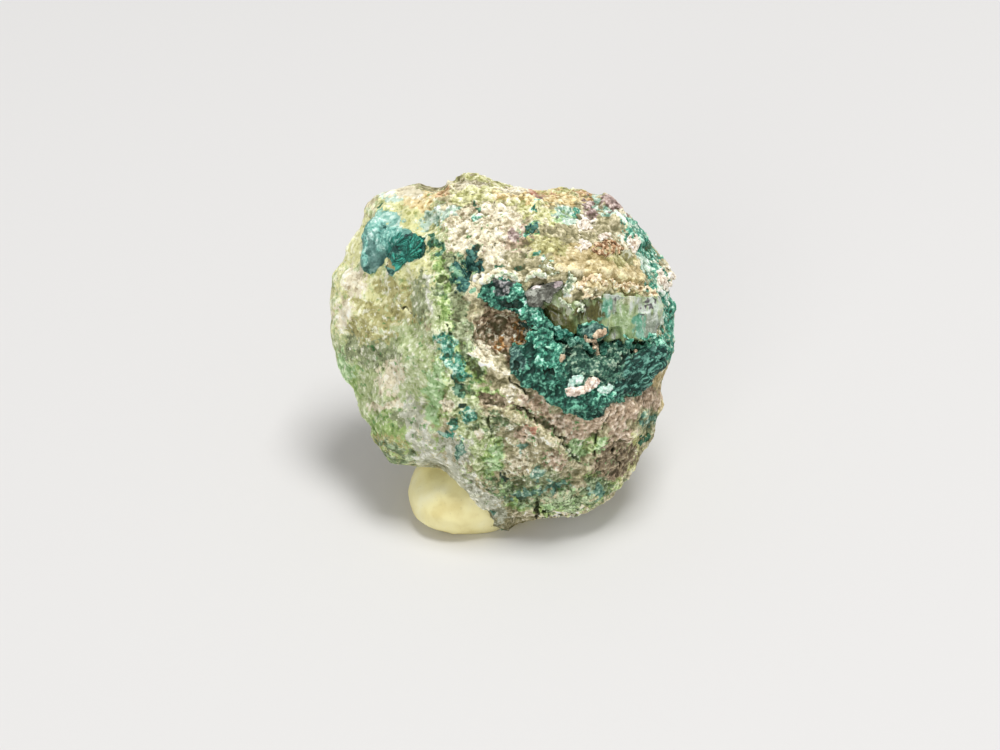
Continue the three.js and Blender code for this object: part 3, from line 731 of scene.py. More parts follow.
displace(stone, SWELLS, 0.7)
raise_skin(stone, RIM_HEIGHT, rims_of(stone))
displace(stone, CLASTS, 0.24, where=rough * gritty)
displace(stone, SMALL_CLASTS, 0.2, where=rough)
melt(stone, 1)
displace(stone, BROKEN, 0.3, where=rough * (1 - 0.4 * chalk))
displace(stone, BROKEN, 0.3, where=ease(*JAGGED_TOP, up) * rough)
displace(stone, CRUMBS, -0.3, level=0.3, where=np.clip(rust + 0.7 * leaf + 0.8 * teal, 0, 1) * rough)
displace(stone, GRAINS, -0.2, level=0.3, where=np.maximum.reduce([0.35 * chalk, teal, rust]))
displace(stone, WIDE_PITS, 0.3, level=1.0, where=np.clip(leaf + 0.4 * chalk + rust, 0, 1) * rough)
displace(stone, PINHOLES, 0.3, level=1.0, where=gritty * rough)
displace(stone, FINE_GRAIN, 0.2, where=rough)
raise_skin(stone, CAVE_FILL, caves)
raise_skin(stone, -POCKET_DEPTH, pocket * (1 - caves))
for (low, high, values), height in TRIMS:
    raise_skin(stone, height, ease(low, high, values))
for mark, height in SWOLLEN.items():
    raise_skin(stone, height, blot(across, up, *mark))
print("the stone now spans", spans(stone), "mm")

# %% [markdown]
# A crack is thin and dark, and follows a jagged line. It could be cut with a boolean, which would
# leave clean walls and long thin faces. Pushing the skin in along a path keeps the even mesh. Each
# path comes with its half width. One noise shakes it, so that the line wanders as a real crack
# does, and another lets the crack gape in some places and nearly close in others.

# %% The cracks
CRACKS = [
    ([(-2, -4.8), (-0.6, -4.9), (0.9, -5), (1.7, -5.3), (2.5, -5.9)], 0.07),
    ([(2.3, -5.8), (3.2, -6.5), (4.4, -7), (5.1, -8), (6, -9.4), (7, -10.4)], 0.09),
    ([(8.4, -7.2), (8.3, -8.2), (8.2, -9.4), (8.4, -10.8)], 0.045),
    ([(8.9, -7.2), (9.3, -6.4), (9.7, -5.6)], 0.05),
    ([(-3.1, 9.3), (-2.4, 8.6), (-2.3, 7.4), (-2.6, 6.4)], 0.09),
    ([(0.3, -2.6), (1.4, -3.2), (2.2, -3.9)], 0.07),
    ([(-5.4, 2.4), (-4.9, 1.4)], 0.06), ([(-9.6, 4.2), (-8.6, 3.4)], 0.05),
    ([(-1.6, -5.9), (-1.2, -8)], 0.05), ([(9.8, -9), (10.6, -10.6)], 0.05),
    ([(2.95, -13.6), (2.85, -14.4), (3, -15.5)], 0.13),
]
CRACK_DEPTH = 0.45
CRACK_LIPS = (0.4, 1.8)
CRACK_WANDER = {"width": 0.6, "reach": 0.32, "shift": 3.1}
CRACK_OPENINGS = {"width": 0.9, "shift": 5.7, "rise": (-0.35, 0.15), "least": 0.3}


def store_cracks(piece):
    """Keep a mask that is 1 along the cracks of the display face, and give it back."""
    places = corners(piece)
    across, up, _ = on_the_face(places)
    shake = soft_patches(places, CRACK_WANDER["width"], CRACK_WANDER["shift"]) * CRACK_WANDER["reach"]
    gaping = soft_patches(places, CRACK_OPENINGS["width"], CRACK_OPENINGS["shift"])
    least = CRACK_OPENINGS["least"]
    opened = least + (1 - least) * ease(*CRACK_OPENINGS["rise"], gaping)
    lines = np.zeros(len(places))
    for path, half_width in CRACKS:
        apart = way_from(across + shake, up + shake, path)
        inner, outer = (half_width * lip for lip in CRACK_LIPS)
        lines = np.maximum(lines, (1 - ease(inner, outer, apart)) * opened)
    lines = lines * stored(piece, "front")
    store(piece, "crack", lines)
    return lines


raise_skin(stone, -CRACK_DEPTH, store_cracks(stone))
print(len(CRACKS), "cracks pressed in")

# %% [markdown]
# The relief has pushed the stone's lowest tip a hair through the ground. So every corner below the
# packed stone's lowest point is lifted back to it.

# %% Keep the tip above the ground


def lift_to(piece, lowest):
    """Bring every corner that lies lower than this up to it."""
    places = corners(piece)
    places[:, 2] = np.maximum(places[:, 2], lowest)
    move_corners(piece, places)


lift_to(stone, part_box("host_rock")[0].z)
print("the stone's lowest point is at", round(corners(stone)[:, 2].min() / MM, 2), "mm")

# %% [markdown]
# The material paints shade into the hollows and a highlight on the crests, so it needs to know which
# is which. The skin can tell: each corner is compared with the mean of its neighbours. A few rounds of
# averaging give the fine crests, and many rounds give the broad hollows. The top edge of the stone gets
# less of the painted shade in its hollows.

# %% Crests and hollows
CREST_ROUNDS = 4
HOLLOW_ROUNDS = 40
CREST_HEIGHT = 0.05 * MM
HOLLOW_DEPTH = 0.35 * MM
LESS_SHADE_ON_TOP = 0.75


def averaged(piece, places, rounds):
    """The corners after each one has moved this often to the mean of its neighbours."""
    ends = rows_of(piece.data.edges, "vertices", 2, np.int32)
    count = np.bincount(ends.ravel(), minlength=len(places))[:, None]
    for _ in range(rounds):
        total = np.zeros_like(places)
        for axis in range(3):
            total[:, axis] = (
                np.bincount(ends[:, 0], places[ends[:, 1], axis], len(places))
                + np.bincount(ends[:, 1], places[ends[:, 0], axis], len(places)))
        places = total / count
    return places


def store_crests(piece):
    """Keep how far each corner stands out finely (crest) and lies back broadly (hollow)."""
    places, normals = corners(piece), facing(piece)
    fine = averaged(piece, places, CREST_ROUNDS)
    broad = averaged(piece, fine, HOLLOW_ROUNDS)
    crest = ((places - fine) * normals).sum(1) / CREST_HEIGHT
    hollow = -((places - broad) * normals).sum(1) / HOLLOW_DEPTH
    store(piece, "crest", np.clip(0.5 + 0.5 * crest, 0, 1))
    store(piece, "hollow", np.clip(hollow, 0, 1))
    print(piece.name, "crests", round(float(crest.std()), 2), "hollows", round(float(hollow.std()), 2))


store_crests(stone)
_, up = shaken(corners(stone))
# The top edge gets less painted shade in its hollows.
store(stone, "hollow", stored(stone, "hollow") * (1 - LESS_SHADE_ON_TOP * ease(*TOP_EDGE, up)))

# %% [markdown]
# A material is a tree of nodes. `put` adds one node with its inputs either set or linked, and the
# helpers after it name the few nodes that are used over and over: a mix of two colours, a sum, a
# smooth rise.

# %% Helpers for materials


def put(tree, kind, inputs=None, **settings):
    """Add a node to a tree, with its inputs set, or linked where a value is a socket."""
    made = tree.nodes.new(kind)
    for setting, value in settings.items():
        setattr(made, setting, value)
    for socket, value in (inputs or {}).items():
        if isinstance(value, bpy.types.NodeSocket):
            tree.links.new(value, made.inputs[socket])
        else:
            made.inputs[socket].default_value = value
    return made


def group_tree(name, inputs, outputs):
    """An empty shader group with these named sockets."""
    tree = bpy.data.node_groups.new(name, "ShaderNodeTree")
    for sockets, side in ((inputs, "INPUT"), (outputs, "OUTPUT")):
        for socket, kind in sockets.items():
            tree.interface.new_socket(socket, in_out=side, socket_type="NodeSocket" + kind)
    return tree, put(tree, "NodeGroupInput").outputs, put(tree, "NodeGroupOutput").inputs


def lay_over(tree, share, below, above, **settings):
    """A colour mixed from one below and one above it."""
    mixed = put(tree, "ShaderNodeMix", {0: share, 6: below, 7: above}, data_type="RGBA", **settings)
    return mixed.outputs[2]


def reckon(tree, operation, first, second=0.0, clamp=False):
    """The result of a Math node."""
    return put(tree, "ShaderNodeMath", {0: first, 1: second}, operation=operation,
               use_clamp=clamp).outputs[0]


def rise(tree, value, low, high, start=0.0, end=1.0, kind="SMOOTHSTEP"):
    """A rise from start to end while value goes from low to high, smooth unless told otherwise."""
    return put(tree, "ShaderNodeMapRange", {0: value, 1: low, 2: high, 3: start, 4: end},
               interpolation_type=kind).outputs[0]


def noise_at(tree, place, scale, detail, roughness=0.5):
    """A Noise Texture node at a place."""
    return put(tree, "ShaderNodeTexNoise",
               {"Vector": place, "Scale": scale, "Detail": detail, "Roughness": roughness}).outputs


print("a material can be built from", put.__name__, lay_over.__name__, "and", rise.__name__)

# %% [markdown]
# Every mineral here changes colour in the same way: from dark in its pits through its own middle
# tone to a pale crest, with a ragged edge where it meets the next one. The darkening in the pits and
# the paling on the crests are partly painted shade and highlight, and partly random mottle. That
# effect is a node group, built once. It takes the colour below, the finish's mask, a pattern and
# three tones, and gives the colour with the finish laid over it. The stone and its growths use it
# once for each finish.

# %% The mineral finish group
DARK_TO_MIDDLE = (0.15, 0.5)
MIDDLE_TO_LIGHT = (0.5, 0.85)
HALF = 0.5


def mineral_finish_group():
    """One mineral laid over what is below it, in three tones and with a ragged edge."""
    tree, given, result = group_tree(
        "mineral_finish",
        {"Below": "Color", "Mask": "Float", "Edge Noise": "Float", "Pattern": "Float",
         "Dark": "Color", "Middle": "Color", "Light": "Color", "Raggedness": "Float",
         "Softness": "Float"},
        {"Color": "Color"})
    shadow = rise(tree, given["Pattern"], *DARK_TO_MIDDLE)
    crest = rise(tree, given["Pattern"], *MIDDLE_TO_LIGHT)
    tone = lay_over(tree, shadow, given["Dark"], given["Middle"])
    tone = lay_over(tree, crest, tone, given["Light"])
    torn = reckon(tree, "SUBTRACT", given["Edge Noise"], HALF)
    torn = reckon(tree, "MULTIPLY", torn, given["Raggedness"])
    cover = rise(tree, reckon(tree, "ADD", given["Mask"], torn),
                 reckon(tree, "SUBTRACT", HALF, given["Softness"]),
                 reckon(tree, "ADD", HALF, given["Softness"]))
    tree.links.new(lay_over(tree, cover, given["Below"], tone), result["Color"])
    return tree


MINERAL_FINISH = mineral_finish_group()
print("built", MINERAL_FINISH.name, "with", len(MINERAL_FINISH.nodes), "nodes")

# %% [markdown]
# The second group paints light and shade onto the colour. Broad hollows and fine pits get painted
# shade, fine crests get a painted highlight, small dark specks sit between the grains, and a crack
# gets painted shade, nearly black. It reads the numbers kept on the skin, which come in through its
# inputs, so any piece that has them can use it. Each effect has a rise, between two values of what
# drives it, and a share, which is the most that it adds.

# %% The painted light, shade and specks group
# Painted shade in the broad hollows (sunk) and the fine pits (pitted), and real dark specks.
SHADE_AND_SPECKS = {
    "sunk": {"rise": (0.1, 1.0), "share": 0.7},
    "pitted": {"rise": (0.3, 0.0), "share": 0.4},
    "specks": {"rise": (0.36, 0.26), "share": 0.6},
}
# A painted highlight on the fine crests.
HIGHLIGHT_RISE = (0.55, 1.0)
HIGHLIGHT_COLOUR = (0.7, 0.7, 0.6, 1)
# Painted shade, nearly black, inside the cracks.
CRACK_BLACK = (0.02, 0.025, 0.008, 1)


def painted_light_and_specks_group():
    """Painted shade in the hollows and pits, painted highlights on the crests, dark specks, and painted
    shade, nearly black, in the cracks.
    """
    tree, given, result = group_tree(
        "painted_light_and_specks",
        {"Color": "Color", "Crest": "Float", "Hollow": "Float", "Crack": "Float",
         "Speck Noise": "Float", "Shade And Dirt": "Color", "Highlight": "Float"},
        {"Color": "Color"})

    def darkened(colour, effect, driver):
        """The colour darkened where a driver says, for painted shade in hollows and pits and for dark
        specks.
        """
        look = SHADE_AND_SPECKS[effect]
        share = reckon(tree, "MULTIPLY", rise(tree, given[driver], *look["rise"]), look["share"])
        return lay_over(tree, share, colour, given["Shade And Dirt"])

    colour = darkened(given["Color"], "sunk", "Hollow")
    # A painted highlight where the skin forms a fine crest.
    highlighted = reckon(tree, "MULTIPLY", rise(tree, given["Crest"], *HIGHLIGHT_RISE), given["Highlight"])
    colour = lay_over(tree, highlighted, colour, HIGHLIGHT_COLOUR, blend_type="DODGE")
    colour = darkened(colour, "pitted", "Crest")
    colour = darkened(colour, "specks", "Speck Noise")
    colour = lay_over(tree, given["Crack"], colour, CRACK_BLACK)
    tree.links.new(colour, result["Color"])
    return tree


PAINTED_LIGHT_AND_SPECKS = painted_light_and_specks_group()
print("built", PAINTED_LIGHT_AND_SPECKS.name, "with", len(PAINTED_LIGHT_AND_SPECKS.nodes), "nodes")

# %% [markdown]
# A third group makes the patterns that all minerals share, so that each is worked out once and
# their grain has one scale over the whole stone: a mottle a millimetre or so wide, a fine grain, a
# random value for each tiny crystal cell, and the height for a Bump node. Three edge noises that
# don't agree with each other keep two neighbouring finishes from tearing along the same line. The
# shares say how much of the pattern comes from each size, and the last rise spreads it from 0 to 1.

# %% The grain group
EDGE_NOISES = 3
TEAR_FINENESS = 1.9
CELL_FINENESS = 0.55
MOTTLE_SHARE = 0.65
CELL_SHARE = 0.2
# The crest share makes the pattern paler on crests and darker in pits: painted highlight and shade.
CREST_SHARE = 0.22
PATTERN_LIFT = 0.3
PATTERN_RISE = (0.54, 1.14)
CELL_DIP = 0.5


def grain_group():
    """Patterns at three sizes, an edge noise and a height, from a place on the piece."""
    tree, given, result = group_tree(
        "mineral_grain",
        {"Vector": "Vector", "Mottle Size": "Float", "Grain Size": "Float", "Crest": "Float",
         "Fine Share": "Float"},
        {"Pattern": "Float", "Edge Noise 0": "Float", "Edge Noise 1": "Float",
         "Edge Noise 2": "Float", "Fine": "Float", "Cells": "Float", "Height": "Float"})
    place = given["Vector"]
    mottle_scale = reckon(tree, "DIVIDE", 1.0, given["Mottle Size"])
    grain_scale = reckon(tree, "DIVIDE", 1.0, given["Grain Size"])
    tear_scale = reckon(tree, "MULTIPLY", mottle_scale, TEAR_FINENESS)
    mottle = noise_at(tree, place, mottle_scale, 5.0, 0.62)[0]
    torn = noise_at(tree, place, tear_scale, 6.0, 0.72)["Color"]
    fine = noise_at(tree, place, grain_scale, 3.0, 0.6)[0]
    cells = put(tree, "ShaderNodeTexVoronoi",
                {"Vector": place, "Scale": reckon(tree, "MULTIPLY", grain_scale, CELL_FINENESS)})
    cell_value = put(tree, "ShaderNodeSeparateColor", {0: cells.outputs["Color"]}).outputs[0]
    fine_part = reckon(tree, "MULTIPLY", reckon(tree, "SUBTRACT", fine, HALF), given["Fine Share"])
    pattern = reckon(tree, "ADD", reckon(tree, "MULTIPLY", mottle, MOTTLE_SHARE),
                     reckon(tree, "ADD", fine_part, PATTERN_LIFT))
    for value, share in ((cell_value, CELL_SHARE), (given["Crest"], CREST_SHARE)):
        pattern = reckon(tree, "ADD", pattern, reckon(tree, "MULTIPLY", value, share))
    dips = reckon(tree, "MULTIPLY", cells.outputs["Distance"], CELL_DIP)
    edges = put(tree, "ShaderNodeSeparateColor", {0: torn}).outputs
    made = {"Pattern": rise(tree, pattern, *PATTERN_RISE, kind="LINEAR"), "Fine": fine,
            "Cells": cell_value, "Height": reckon(tree, "SUBTRACT", fine, dips)}
    made.update({f"Edge Noise {channel}": edges[channel] for channel in range(EDGE_NOISES)})
    for socket, value in made.items():
        tree.links.new(value, result[socket])
    return tree


MINERAL_GRAIN = grain_group()
print("built", MINERAL_GRAIN.name, "with", len(MINERAL_GRAIN.nodes), "nodes")

# %% [markdown]
# Now the stone's own material. It starts from the tan ground mass and lays the finishes over it in
# the order in which they grew. Each has three tones, mixed to look right in plain light. The gloss
# varies with the grain: most of it is dull, but small crystal cells glint. The soft left side gets
# less fine grain and a weaker bump than the rest.

# %% The stone's material
GROUND_TONES = ((0.2, 0.18, 0.09), (0.4, 0.36, 0.21), (0.68, 0.62, 0.44))
FINISH_TONES = {
    "mossy_ground": ((0.24, 0.31, 0.11), (0.46, 0.53, 0.27), (0.79, 0.84, 0.6)),
    "lemon_crust": ((0.42, 0.42, 0.14), (0.72, 0.71, 0.37), (0.95, 0.94, 0.7)),
    "leaf_green": ((0.1, 0.19, 0.04), (0.32, 0.45, 0.15), (0.68, 0.78, 0.44)),
    "fresh_green": ((0.17, 0.3, 0.1), (0.38, 0.56, 0.27), (0.68, 0.84, 0.54)),
    "ochre_crust": ((0.3, 0.22, 0.08), (0.57, 0.46, 0.24), (0.87, 0.77, 0.5)),
    "golden_crust": ((0.42, 0.27, 0.09), (0.8, 0.65, 0.34), (0.95, 0.88, 0.62)),
    "apricot_crust": ((0.4, 0.22, 0.09), (0.74, 0.5, 0.28), (0.93, 0.77, 0.56)),
    "olive_ochre": ((0.2, 0.18, 0.06), (0.45, 0.42, 0.18), (0.76, 0.74, 0.45)),
    "pink_matrix": ((0.26, 0.18, 0.11), (0.54, 0.41, 0.29), (0.84, 0.71, 0.58)),
    "mauve_stain": ((0.1, 0.06, 0.05), (0.34, 0.245, 0.22), (0.7, 0.59, 0.55)),
    # Dark olive, used as painted shade low on the front and in the crevices.
    "dark_olive_and_shade": ((0.045, 0.07, 0.03), (0.165, 0.22, 0.11), (0.44, 0.52, 0.34)),
    "sage_shade": ((0.12, 0.14, 0.07), (0.28, 0.32, 0.17), (0.52, 0.56, 0.38)),
    # Painted shade, in umber tones.
    "umber_shade": ((0.09, 0.065, 0.04), (0.27, 0.21, 0.13), (0.55, 0.46, 0.33)),
    "chalky_white": ((0.42, 0.35, 0.21), (0.8, 0.73, 0.53), (0.97, 0.94, 0.82)),
    "grey_band": ((0.3, 0.31, 0.21), (0.53, 0.54, 0.42), (0.85, 0.85, 0.76)),
    "dull_teal": ((0.03, 0.09, 0.065), (0.13, 0.26, 0.19), (0.42, 0.58, 0.46)),
    "teal_crust": ((0.01, 0.09, 0.062), (0.08, 0.31, 0.215), (0.56, 0.82, 0.68)),
    "pale_aqua": ((0.16, 0.34, 0.25), (0.55, 0.7, 0.57), (0.92, 0.97, 0.88)),
    "aqua_skin": ((0.1, 0.28, 0.23), (0.3, 0.56, 0.47), (0.68, 0.88, 0.78)),
    "deep_green": ((0.012, 0.045, 0.025), (0.05, 0.15, 0.085), (0.22, 0.4, 0.27)),
    "rusty_hollow": ((0.065, 0.035, 0.014), (0.3, 0.215, 0.135), (0.66, 0.56, 0.42)),
    "orange_rust": ((0.04, 0.018, 0.006), (0.26, 0.12, 0.035), (0.58, 0.36, 0.16)),
    # Painted shade, in dark teal, for the pockets, the crevices and the shadows under the plate and stem.
    "pocket_shade": ((0.006, 0.022, 0.02), (0.022, 0.075, 0.068), (0.085, 0.22, 0.19)),
    "red_spot": ((0.38, 0.15, 0.09), (0.56, 0.33, 0.23), (0.75, 0.54, 0.42)),
    "pale_specks": ((0.58, 0.57, 0.4), (0.8, 0.8, 0.62), (0.95, 0.95, 0.84)),
    "green_specks": ((0.05, 0.14, 0.04), (0.16, 0.32, 0.12), (0.42, 0.6, 0.3)),
    "dark_specks": ((0.02, 0.025, 0.012), (0.06, 0.065, 0.03), (0.2, 0.2, 0.11)),
}
RAGGEDNESS = 2.1
EDGE_SOFTNESS = 0.08
STONE_SHINE = 0.2
STONE_GRAIN = (1.2, 0.2)
# The colour of the painted shade in hollows and pits and of the specks, and the strength of the painted
# highlight on the crests.
STONE_SHADE_AND_DIRT = (0.1, 0.1, 0.045, 1)
STONE_HIGHLIGHT = 0.32
FINE_SHARE = (0.6, 0.14)
SIDE_BUMP = 0.22
GLINTS = {"low": 0.8, "high": 0.95, "start": 0.85, "end": 0.4}


def new_material(name, shine=0.5):
    """A material with its own Principled shader, ready for nodes."""
    material = bpy.data.materials.new(name)
    material.use_nodes = True
    shader = material.node_tree.nodes["Principled BSDF"]
    shader.inputs["Specular IOR Level"].default_value = shine
    return material, material.node_tree, shader


def kept(tree, name, output="Fac"):
    """What was kept on the skin under this name."""
    return put(tree, "ShaderNodeAttribute", attribute_name=name).outputs[output]


def opaque(tone):
    """A tone as a full colour."""
    return (*tone, 1)


def placed(tree, group, inputs):
    """The outputs of a shared group that is placed in a material with its own values."""
    return put(tree, "ShaderNodeGroup", inputs, node_tree=group).outputs


def on_the_piece(tree):
    """The place on a piece, from its object coordinates."""
    return put(tree, "ShaderNodeTexCoord").outputs["Object"]


def grain_at(tree, sizes, crest=0.5, fine_share=FINE_SHARE[0]):
    """The grain group on a piece, with the sizes of its mottle and its grain in mm."""
    mottle, fine = (size * MM for size in sizes)
    return placed(tree, MINERAL_GRAIN, {
        "Vector": on_the_piece(tree), "Mottle Size": mottle, "Grain Size": fine, "Crest": crest,
        "Fine Share": fine_share})


def finish_over(tree, below, mask, grain, tones, raggedness=RAGGEDNESS, channel=0,
                softness=EDGE_SOFTNESS):
    """The mineral finish group with these tones, over a colour."""
    dark, middle, light = map(opaque, tones)
    return placed(tree, MINERAL_FINISH, {
        "Below": below, "Mask": mask, "Edge Noise": grain[f"Edge Noise {channel}"],
        "Pattern": grain["Pattern"], "Dark": dark, "Middle": middle, "Light": light,
        "Raggedness": raggedness, "Softness": softness})["Color"]


def ground_of(tree, grain, tones):
    """A mineral all over, as the ground for other finishes."""
    return finish_over(tree, opaque(tones[1]), 1.0, grain, tones)


def with_painted_light_and_specks(tree, colour, crest, hollow, specks, shade_and_dirt, highlight, crack=0.0):
    """The painted light, shade and specks group over a colour."""
    return placed(tree, PAINTED_LIGHT_AND_SPECKS, {
        "Color": colour, "Crest": crest, "Hollow": hollow, "Crack": crack,
        "Speck Noise": specks, "Shade And Dirt": shade_and_dirt, "Highlight": highlight})["Color"]


def roughen(tree, shader, height, strength, distance):
    """Fine relief from a height, by a Bump node with its distance in mm."""
    bump = put(tree, "ShaderNodeBump",
               {"Strength": strength, "Distance": distance * MM, "Height": height})
    tree.links.new(bump.outputs[0], shader.inputs["Normal"])


def wear(tree, shader, colour, roughness):
    """Give the shader a finished colour and roughness, each a socket or a plain value."""
    for socket, value in (("Base Color", colour), ("Roughness", roughness)):
        if isinstance(value, bpy.types.NodeSocket):
            tree.links.new(value, shader.inputs[socket])
        else:
            shader.inputs[socket].default_value = value


def stone_material():
    """Every finish laid over the tan ground, then painted light and shade, specks and black cracks."""
    material, tree, shader = new_material("weathered_ore", STONE_SHINE)
    crest, soft = kept(tree, "crest"), kept(tree, "soft_side")
    grain = grain_at(tree, STONE_GRAIN, crest, rise(tree, soft, 0.0, 1.0, *FINE_SHARE))
    colour = ground_of(tree, grain, GROUND_TONES)
    # Among these finishes, the dark olive, the umber shade and the pocket shade carry painted shade.
    for number, (finish, tones) in enumerate(FINISH_TONES.items()):
        colour = finish_over(tree, colour, kept(tree, finish), grain, tones,
                             channel=number % EDGE_NOISES)
    # The pockets have their own painted shade, so the hollows' painted shade is taken off there.
    hollow = reckon(tree, "SUBTRACT", kept(tree, "hollow"), kept(tree, "pocket_shade"), clamp=True)
    colour = with_painted_light_and_specks(tree, colour, crest, hollow, grain["Fine"], STONE_SHADE_AND_DIRT, STONE_HIGHLIGHT,
                       kept(tree, "crack"))
    wear(tree, shader, colour, rise(tree, grain["Cells"], **GLINTS))
    height = reckon(tree, "MULTIPLY", grain["Height"], rise(tree, soft, 0.0, 1.0, 1.0, SIDE_BUMP))
    roughen(tree, shader, height, strength=0.7, distance=0.07)
    return material


def clothe(piece, material):
    """Give a piece its material and smooth shading."""
    piece.data.materials.append(material)
    only(piece)
    bpy.ops.object.shade_smooth()
    print(material.name, "has", len(material.node_tree.nodes), "nodes")


def settle(piece, slot, *nodes):
    """Hide the nodes that a finished piece stands for, and give it its body. The slot is not used."""
    if nodes:
        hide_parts(*nodes)
    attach(piece, "root")
    piece.data.calc_loop_triangles()
    print(piece.name, "has", len(piece.data.loop_triangles), "triangles")


in_edit_mode(stone, lambda: bpy.ops.mesh.quads_convert_to_tris())
clothe(stone, stone_material())
settle(stone, "host_rock", "host_rock")

# %% [markdown]
# The malachite grew over the stone as a velvety crust, with round knobs at its left, a dished bowl
# in its middle and a layered ledge at its right end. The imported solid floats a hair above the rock,
# so the copy is sunk into it first, as it has really grown on. It is remeshed finely and melted
# smooth, the bowl most of all. Its masks are kept before the relief, which is held to them.

# %% The body of the malachite
MALACHITE_VOXEL = 0.125 * MM
SINK = 0.28 * MM
MALACHITE_MELTING = 16
BOWL_MELTING = 60
MALACHITE_MARKS = {
    "bright_crests": [
        ((2.7, 1.2), (0.9, 1.1)), ((4, -0.4), (1.2, 1.8), 10),
        ((9.2, -3.6), (1.6, 0.7), 15), ((14, 0.6), (1, 0.7)), ((1, 5.9), (0.4, 0.9)),
        ((8, 2.7), (1.3, 0.3), -8), ((5.4, 1.2), (1.2, 0.5), -30),
    ],
    "aqua_stem": [((1.8, 4), (0.5, 0.8), 25), ((2.9, 3.3), (1, 0.6), -25)],
    "dished_bowl": [((9, -1.2), (3.5, 2.1), 5), ((6.3, 0.2), (1.2, 1.4))],
    "streaked_ledge": [((13.2, -1.5), (2.6, 1.9), 35), ((11.4, -3), (1.8, 1), 30)],
    "smooth_knobs": [((0.9, -0.7), (1, 1.3), 20), ((8.2, 1.7), (1.2, 0.8))],
    # Holes and dark gaps, filled with painted shade.
    "shaded_holes": [
        ((4, -2), (0.35, 0.5), 25), ((0.9, -1.4), (0.35, 0.45)),
        ((12, 1.2), (0.8, 0.45)), ((0.3, 4.2), (0.9, 0.35), 8),
        ((10.9, -0.9), (1, 0.25), 32), ((5.9, 0), (0.3, 0.2)), ((2.6, 2.1), (0.4, 0.2)),
    ],
    "metal_flakes": [((-0.3, 5.6), (1, 0.7), 20)],
}


def sink_into_the_stone(piece, depth):
    """Push a growth back against the stone."""
    in_edit_mode(piece, lambda: bpy.ops.transform.translate(value=-OUT * depth))


def store_marks(piece, marks, covers=None):
    """Keep a mask for each named list of blots, times its cover if it has one."""
    across, up = shaken(corners(piece))
    for name, blots in marks.items():
        store(piece, name, union_of(across, up, blots) * (covers or {}).get(name, 1.0))


malachite = copy_of_node("malachite_crust", "malachite_growth")
sink_into_the_stone(malachite, SINK)
remesh(malachite, MALACHITE_VOXEL)
melt(malachite, MALACHITE_MELTING)
store_marks(malachite, MALACHITE_MARKS)
bowl, ledge = stored(malachite, "dished_bowl"), stored(malachite, "streaked_ledge")
plain = stored(malachite, "smooth_knobs")
melt(malachite, BOWL_MELTING, bowl)
print("malachite has", len(malachite.data.vertices), "corners")

# %% [markdown]
# Its relief starts with broad swells. The Voronoi texture with squared distances then gives round
# knobs, a hard noise gives billows between them, and fine clouds give the velvet. The bowl has only
# small clasts. The ledge gets long layers, from a noise that is read stretched along its slope. The
# holes are pushed in, and the fringe that in reality dips behind the stone is pushed back at last.

# %% The relief of the malachite
KNOBS = relief_texture("knobs", "VORONOI", 1.15, distance_metric="DISTANCE_SQUARED")
BILLOWS = relief_texture("billows", "CLOUDS", 0.62, noise_depth=3, noise_type="HARD_NOISE")
VELVET = relief_texture("velvet", "CLOUDS", 0.22, noise_depth=2)
GROWN_THICKER = 0.16
LESS_KNOBBY = (0.8, 0.7, 0.7)
LEDGE_SLOPE = math.radians(28)
LEDGE_LAYERS = (0.3, 1.9)
LEDGE_RELIEF = 0.6
HOLE_DEPTH = 0.3
SUNKEN_FRINGE = [((10.8, -5.4), (2, 0.9), 25), ((4, -5.9), (1.6, 0.7), -20)]
FRINGE_DEPTH = 1.8


def ridges(vectors):
    """Low ridges from 0 to 1, from noise that is read at one vector for each corner."""
    return 0.5 + 0.5 * soft_patches(vectors * MM, 1.0, 0.0)


def ledge_layers(piece):
    """Long low ridges from 0 to 1 that rise along the ledge's slope."""
    across, up, out = on_the_face(corners(piece))
    along = across * math.cos(LEDGE_SLOPE) + up * math.sin(LEDGE_SLOPE)
    aside = up * math.cos(LEDGE_SLOPE) - across * math.sin(LEDGE_SLOPE)
    return ridges(np.stack([along * LEDGE_LAYERS[0], aside * LEDGE_LAYERS[1], 0 * out], axis=1))


def push_back(piece, depth, where):
    """Move the corners away from the eye, by a depth in mm times a mask."""
    move_corners(piece, corners(piece) - np.outer(where, np.array(OUT)) * depth * MM)


on_bowl, on_ledge, on_plain = LESS_KNOBBY
knobby = np.clip(1 - on_bowl * bowl - on_ledge * ledge - on_plain * plain, 0, 1)
raise_skin(malachite, GROWN_THICKER)
displace(malachite, SWELLS, 0.6)
displace(malachite, BROKEN, 0.5, where=1 - 0.6 * plain)
displace(malachite, KNOBS, -0.5, level=0.3, where=np.clip(knobby + 0.15, 0, 1))
displace(malachite, BILLOWS, 0.5, where=np.clip(knobby + 0.3, 0, 1))
raise_skin(malachite, LEDGE_RELIEF, ledge * ledge_layers(malachite))
displace(malachite, SMALL_CLASTS, 0.22, where=bowl)
displace(malachite, VELVET, 0.24, where=1 - 0.3 * plain)
raise_skin(malachite, -HOLE_DEPTH, stored(malachite, "shaded_holes"))
store_crests(malachite)
across, up = shaken(corners(malachite))
for mark in SUNKEN_FRINGE:
    push_back(malachite, FRINGE_DEPTH, blot(across, up, *mark))
print("malachite spans", spans(malachite), "mm")

# %% [markdown]
# Malachite is deep green where it is thick and pale aqua on its crests, where the fibres end; its
# crests also get a painted highlight, and its hollows painted shade. The same finish group serves
# again, with green tones and the growth's own masks, and its holes are painted nearly black, as shade.
# The ledge's streaks come from a noise that is stretched along it. A few flakes of the bournonite
# itself show as grey metal, so a mask drives the metallic value there.

